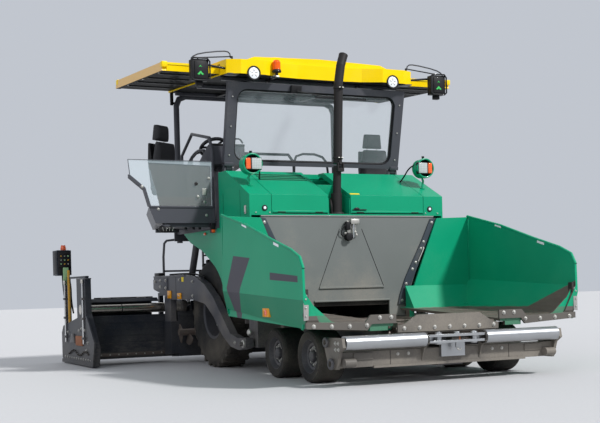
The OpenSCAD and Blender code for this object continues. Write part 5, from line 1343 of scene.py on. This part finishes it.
class PAVER_OT_tow_arms(Piece, bpy.types.Operator):
    """Brackets, ram, guide and reflectors of the tow arms"""
    bl_idname = "paver.tow_arms"
    bl_label = "Tow arm fittings"

    def make(self):
        for side, word in SIDES:
            arm = Shape("frame grey")
            face = 1.265
            # cover plate and upper bracket over the arm's rear end
            arm.plate(
                [(4.360, 1.150), (4.400, 1.176), (5.640, 1.176), (5.640, 1.158), (4.400, 1.150)],
                "x", 1.160, 0.112, 0.003)
            arm.plate([(5.05, 0.980), (5.64, 1.000), (5.64, 1.130), (5.05, 1.140)], "x", face, 0.010, 0.003)
            arm.use("black plastic")
            for y in (4.740, 5.060):
                arm.block((face - 0.001, y - 0.003, 0.860), (face + 0.002, y + 0.003, 1.160), 0.0005, 1)
            arm.block((1.172, 5.420, 1.160), (1.262, 5.620, 1.220), 0.006)
            arm.use("zinc")
            for y, z in (
                    (5.12, 1.11), (5.12, 1.01), (5.34, 1.11), (5.34, 1.03), (5.56, 1.10), (4.60, 1.11),
                    (4.60, 0.90), (4.12, 1.08), (4.12, 0.90), (2.62, 0.34), (2.76, 0.35)):
                arm.bolt((face + (0.010 if y > 5.05 else 0), y, z), X)
            arm.lathe(
                [(0.0, 0.0), (0.0, 0.022), (0.040, 0.022), (0.046, 0.016), (0.046, 0.0)],
                (face, 2.500, 0.345), X, 36)
            arm.use("reflector amber")
            for y, z, tall in ((4.990, 0.920, 0.105), (4.600, 0.900, 0.080)):
                arm.block((face, y - 0.075, z - tall / 2), (face + 0.012, y + 0.075, z + tall / 2), 0.005)
            arm.use("label yellow").block((face, 4.44, 1.085), (face + 0.002, 4.52, 1.145), 0.0005, 1)
            # lamp group under the arm
            arm.use("black plastic").block((1.180, 4.560, 0.700), (1.250, 4.800, 0.848), 0.016)
            arm.use("rubber")
            for dx, dz in ((-0.045, 0.03), (0.045, 0.03), (-0.045, -0.03), (0.045, -0.03)):
                spot = Vector((1.246, 4.680 + dx, 0.772 + dz))
                arm.rod(spot, spot + X * 0.010, 0.020, sides=20, soft=0.003)
            # hose along the arm's inner edge
            arm.hose(
                [(1.180, 5.20, 1.190), (1.180, 4.60, 1.192), (1.180, 4.20, 1.178), (1.180, 3.90, 1.130)],
                0.011)
            arm.done("tow_arm_fittings_" + word, "screed", "dark_paint", side)
            ram = Shape("chrome")
            for y in (2.452, 2.552):
                ram.use("chrome").rod((1.125, y, 0.640), (1.125, y, 0.985), 0.013, sides=18)
            ram.use("frame grey")
            for y0, y1 in ((2.435, 2.452), (2.552, 2.570)):
                ram.block((1.085, y0, 0.300), (1.141, y1, 0.640), 0.004)
            ram.use("zinc").ball((1.192, 2.500, 0.470), 0.042, (0.7, 1, 1), 24)
            ram.use("rubber")
            ram.hose(
                [(1.12, 2.53, 0.98), (1.10, 2.64, 1.04), (0.95, 2.70, 1.02), (0.80, 2.72, 0.98)], 0.010)
            ram.hose(
                [(1.12, 2.47, 0.78), (1.10, 2.40, 0.82), (0.98, 2.38, 0.90), (0.80, 2.40, 0.98)], 0.010)
            # pipes and a step on the frame behind the front wheels
            ram.use("frame grey").block((0.690, 2.960, 0.560), (1.040, 2.985, 1.090), 0.006)
            for x in (0.78, 0.84, 0.90):
                ram.use("zinc").rod((x, 2.940, 0.560), (x, 2.940, 1.080), 0.012)
            ram.use("frame grey").block((0.68, 2.62, 0.70), (1.02, 2.92, 1.08), 0.012)
            ram.use("black plastic").block((0.70, 2.50, 0.55), (0.98, 2.60, 0.68), 0.010)
            ram.done("levelling_ram_" + word, "chassis", "bright_steel", side)


class PAVER_OT_screed(Piece, bpy.types.Operator):
    """Ribs, covers, spindles, boxes, cables and steps of the screed"""
    bl_idname = "paver.screed"
    bl_label = "Screed fittings"

    def make(self):
        for side, word in SIDES:
            self.extension(side, word)
        self.middle()

    def extension(self, side, word):
        """Fittings of one extension, from the front of its wall and the inner face of its end gate."""
        part = Shape("screed blue")
        wall, gate = 5.300, 2.300
        # pressed ribs and wear strip on the front wall
        for z in (0.300, 0.385, 0.470, 0.555, 0.640):
            part.block((1.12, wall - 0.005, z), (gate - 0.015, wall + 0.004, z + 0.012), 0.003, 1)
        part.use("mix steel")
        part.block((1.105, wall - 0.010, 0.112), (gate - 0.005, wall + 0.004, 0.160), 0.004)
        part.use("zinc")
        for i in range(10):
            part.bolt((1.18 + i * 0.120, wall - 0.010, 0.136), -Y, 0.018, 0.006, False)
        # joint ring of the telescopic tube, and its clamp on the end gate
        part.use("black plastic")
        part.lathe([(0.0645, 0), (0.0662, 0), (0.0662, 0.012), (0.0645, 0.012)], (1.815, *TUBE), X, 48)
        part.use("frame grey")
        part.lathe(
            [(0.0652, 0), (0.084, 0), (0.088, 0.008), (0.088, 0.040), (0.0652, 0.040)],
            (gate - 0.045, *TUBE), X, 40)
        # edge strip, rail and handles of the sloped cover
        part.use("screed blue").block((1.292, 5.384, 0.835), (gate - 0.003, 5.393, 0.848))
        part.use("black plastic").block((1.300, 5.600, 0.884), (2.110, 5.700, 0.902), 0.005)
        part.use("zinc")
        for x in (1.50, 2.00):
            part.hose(
                [(x - 0.06, 5.50, 0.884), (x - 0.06, 5.50, 0.896), (x + 0.06, 5.50, 0.896),
                 (x + 0.06, 5.50, 0.884)], 0.006, 1)
        # walkway grip
        for i in range(10):
            part.block((1.30 + i * 0.104, 5.76, 0.450), (1.33 + i * 0.104, 6.165, 0.456), 0.002, 1)
        for y in (5.86, 5.98, 6.10):
            part.block((1.30, y, 0.4505), (gate - 0.01, y + 0.014, 0.4545), 0.001, 1)
        # end gate: bars, slanted plates, spindles and rams
        part.use("frame grey").block((gate - 0.012, 5.140, 0.640), (gate - 0.001, 5.540, 0.700))
        part.block((gate - 0.006, 5.120, 1.150), (gate + 0.080, 5.570, 1.166), 0.004)
        for y in (5.185, 6.105):
            part.use("chrome")
            part.rod((gate + 0.094, y + 0.03, 0.300), (gate + 0.094, y + 0.03, 1.120), 0.013, sides=18)
            part.use("zinc")
            part.rod(
                (gate + 0.094, y + 0.03, 1.10), (gate + 0.094, y + 0.03, 1.150), 0.024, sides=6, soft=0.002)
            for z in (0.36, 0.62, 0.88):
                part.use("frame grey")
                part.block((gate + 0.060, y - 0.010, z), (gate + 0.112, y + 0.070, z + 0.030), 0.004)
        part.use("post yellow")
        part.rod((gate + 0.060, 6.035, 0.420), (gate + 0.060, 6.035, 1.290), 0.018, sides=20)
        part.use("rust").block((gate + 0.070, 5.300, 0.270), (gate + 0.098, 5.620, 0.400), 0.006)
        part.use("frame grey")
        part.plate(
            [(5.66, 0.300), (5.90, 0.300), (5.84, 0.420), (5.72, 0.420)], "x", gate + 0.080, 0.022, 0.003)
        part.use("zinc")
        for i in range(12):
            part.bolt((gate + 0.080, 4.94 + i * 0.118, 0.095), X, 0.020, 0.008)
        for y, z in (
                (5.20, 0.48), (5.34, 0.50), (5.48, 0.47), (6.06, 0.44), (6.20, 0.40), (5.78, 0.36),
                (5.05, 0.32), (5.12, 0.22)):
            part.bolt((gate + 0.080, y, z), X)
        # chain low on the gate, and the control box's hoses
        part.use("soot black")
        for i in range(14):
            spot = (gate + 0.092, 5.02 + i * 0.075, 0.170 + 0.030 * math.sin(i * 0.8))
            part.ball(spot, 0.017, (0.7, 1.4, 0.8), 10)
        part.hose(
            [(gate + 0.09, 6.24, 1.24), (gate + 0.07, 6.30, 1.05), (gate + 0.06, 6.22, 0.80),
             (gate + 0.05, 6.10, 0.60), (gate + 0.05, 5.95, 0.55)], 0.014)
        part.hose(
            [(gate + 0.02, 6.22, 1.25), (gate, 6.16, 1.08), (gate + 0.01, 6.12, 0.86),
             (gate + 0.02, 5.98, 0.70)], 0.012)
        part.hose(
            [(gate + 0.05, 5.30, 1.12), (gate - 0.03, 5.36, 1.00), (gate - 0.02, 5.44, 0.84),
             (gate - 0.03, 5.60, 0.78)], 0.012)
        # control box on its post
        part.use("black plastic").block((gate - 0.025, 6.175, 1.220), (gate + 0.185, 6.422, 1.575), 0.030)
        part.block((gate - 0.005, 6.155, 1.330), (gate + 0.165, 6.180, 1.545), 0.014)
        for i in range(3):
            for j in range(3):
                spot = Vector((gate + 0.030 + i * 0.050, 6.156, 1.380 + j * 0.055))
                part.use(KEYS[(i + j) % len(KEYS)]).rod(spot, spot - Y * 0.008, 0.010, sides=12)
        part.use("amber lens")
        part.lathe(
            [(0.0, 0.0), (0.038, 0.0), (0.042, 0.020), (0.031, 0.070), (0.0, 0.078)],
            (gate + 0.060, 6.290, 1.572), Z, 28)
        part.use("pale green").block((gate + 0.030, 6.150, 1.090), (gate + 0.105, 6.166, 1.330), 0.004)
        part.use("reflector amber").block((gate - 0.016, 5.290, 0.700), (gate - 0.002, 5.370, 0.800), 0.004)
        part.done("extension_fittings_" + word, "extension_" + word, "bright_steel", side)

    def middle(self):
        """Fittings of the basic screed and its walkway."""
        part = Shape("screed blue")
        for k in (-1, 1):
            for z in (0.26, 0.36, 0.46):
                part.use("screed blue").block((k * 0.08, 4.964, z), (k * 1.12, 4.974, z + 0.012), 0.003, 1)
            part.use("frame grey").block((k * 0.06, 5.02, 0.618), (k * 1.10, 5.20, 0.640), 0.006)
            for x in (0.24, 0.52, 0.80):
                part.use("zinc").bolt((k * x, 5.10, 0.640), Z, 0.030, 0.014)
            # spindles behind the basic screed
            for x in (0.34, 0.98):
                part.use("zinc").rod((k * x, 5.250, 0.500), (k * x, 5.250, 0.900), 0.018, sides=16)
            part.use("black plastic").block((k * 0.30, 5.500, 0.918), (k * 0.62, 5.660, 1.060), 0.012)
            # walkway grip and its handrail
            for i in range(10):
                part.use("zinc")
                part.block(
                    (k * (0.06 + i * 0.108), 5.81, 0.590), (k * (0.09 + i * 0.108), 6.165, 0.596), 0.002, 1)
            part.use("frame grey")
            part.hose(
                [(k * 1.05, 5.83, 0.94), (k * 1.05, 5.83, 1.62), (k * 0.98, 5.83, 1.70),
                 (k * 0.30, 5.83, 1.70), (k * 0.22, 5.83, 1.62), (k * 0.22, 5.83, 0.59)], 0.017, 1)
            part.tube([(k * 0.22, 5.83, 1.25), (k * 1.05, 5.83, 1.25)], 0.014)
            part.use("red lens").block((k * 1.00, 6.165, 0.540), (k * 1.12, 6.185, 0.586), 0.006)
            part.use("amber lens").block((k * 0.88, 6.165, 0.540), (k * 0.98, 6.185, 0.586), 0.006)
        part.use("black plastic").block((-0.20, 5.560, 0.918), (0.20, 5.760, 1.120), 0.014)
        part.use("rubber")
        part.hose(
            [(-0.15, 5.58, 1.05), (-0.15, 5.30, 1.10), (-0.20, 5.10, 0.95), (-0.20, 5.08, 0.66)], 0.014)
        part.hose([(0.15, 5.58, 1.05), (0.15, 5.30, 1.10), (0.20, 5.10, 0.95), (0.20, 5.08, 0.66)], 0.014)
        part.done("screed_fittings", "screed", "screed_paint")


class PAVER_OT_deck(Piece, bpy.types.Operator):
    """Tank, boxes, ladder grips and lamps of the deck, seen from behind"""
    bl_idname = "paver.deck"
    bl_label = "Deck fittings"

    def make(self):
        part = Shape("frame grey")
        for k in (-1, 1):
            part.use("red lens")
            part.rod((k * 1.215, 4.742, 1.690), (k * 1.215, 4.765, 1.690), 0.045, sides=28, soft=0.006)
            part.use("amber lens")
            part.rod((k * 1.105, 4.742, 1.690), (k * 1.105, 4.765, 1.690), 0.040, sides=28, soft=0.006)
            part.use("frame grey").block((k * 1.04, 4.715, 1.62), (k * 1.27, 4.745, 1.762), 0.006)
            # guard loops beside the ladder
            part.hose(
                [(k * 0.490, 4.715, 1.764), (k * 0.490, 4.715, 2.68), (k * 0.545, 4.715, 2.82),
                 (k * 0.905, 4.715, 2.82), (k * 1.035, 4.715, 2.68), (k * 1.035, 4.715, 1.764)], 0.017, 1)
            part.tube(
                [(k * 0.490, 4.715, 2.25), (k * 0.490, 4.600, 2.25), (k * 0.490, 4.600, 1.764)], 0.014)
            for z in (1.190, 1.430, 1.650):
                for i in range(7):
                    part.use("zinc")
                    part.block(
                        (k * (0.582 + i * 0.040), 4.736, z + 0.008),
                        (k * (0.596 + i * 0.040), 4.772, z + 0.014), 0.001, 1)
            # hoses from the frame down to the screed
            part.use("rubber")
            part.hose(
                [(k * 0.60, 4.55, 1.50), (k * 0.60, 4.70, 1.45), (k * 0.58, 4.78, 1.20),
                 (k * 0.56, 4.70, 1.02), (k * 0.55, 4.56, 0.96)], 0.018)
        part.use("body green").block((-0.44, 3.16, 1.764), (0.44, 3.46, 2.22), 0.020)
        part.use("black plastic")
        for i in range(6):
            part.block((-0.38, 3.457, 1.84 + i * 0.052), (0.38, 3.463, 1.862 + i * 0.052), 0.002, 1)
        part.use("light grey").block((-0.25, 3.20, 2.219), (0.25, 3.42, 2.232), 0.006)
        part.use("black plastic").block((-0.40, 4.540, 1.10), (0.40, 4.560, 1.60), 0.008)
        part.use("zinc")
        for x in (-0.36, 0.36):
            for z in (1.14, 1.35, 1.56):
                part.bolt((x, 4.560, z), Y, 0.022, 0.008)
        part.done("deck_fittings", "chassis", "dark_paint")


class PAVER_PT_panel(bpy.types.Panel):
    """Lists the paver's operators and settings"""
    bl_label = "Asphalt paver"
    bl_idname = "PAVER_PT_panel"
    bl_space_type = "VIEW_3D"
    bl_region_type = "UI"
    bl_category = "Paver"

    def draw(self, context):
        for group in (context.scene.paver_colours, context.scene.paver_sizes):
            for key in group.bl_rna.properties.keys():
                if key not in ("rna_type", "name"):
                    self.layout.prop(group, key)
        for operator in OPERATORS:
            self.layout.operator(operator.bl_idname)


OPERATORS = (
    PAVER_OT_stage, PAVER_OT_finishes, PAVER_OT_rear_hubs, PAVER_OT_front_hubs, PAVER_OT_hopper,
    PAVER_OT_push_bar, PAVER_OT_body, PAVER_OT_headlights, PAVER_OT_roof, PAVER_OT_stations,
    PAVER_OT_seats, PAVER_OT_tow_arms, PAVER_OT_screed, PAVER_OT_deck,
)
CLASSES = (PaverColours, PaverSizes, *OPERATORS, PAVER_PT_panel)


def register():
    for made in CLASSES:
        bpy.utils.register_class(made)
    bpy.types.Scene.paver_colours = bpy.props.PointerProperty(type=PaverColours)
    bpy.types.Scene.paver_sizes = bpy.props.PointerProperty(type=PaverSizes)


def unregister():
    del bpy.types.Scene.paver_sizes
    del bpy.types.Scene.paver_colours
    for made in reversed(CLASSES):
        bpy.utils.unregister_class(made)


def main():
    register()
    for operator in OPERATORS:
        group, name = operator.bl_idname.split(".")
        getattr(getattr(bpy.ops, group), name)()


if __name__ == "__main__":
    main()
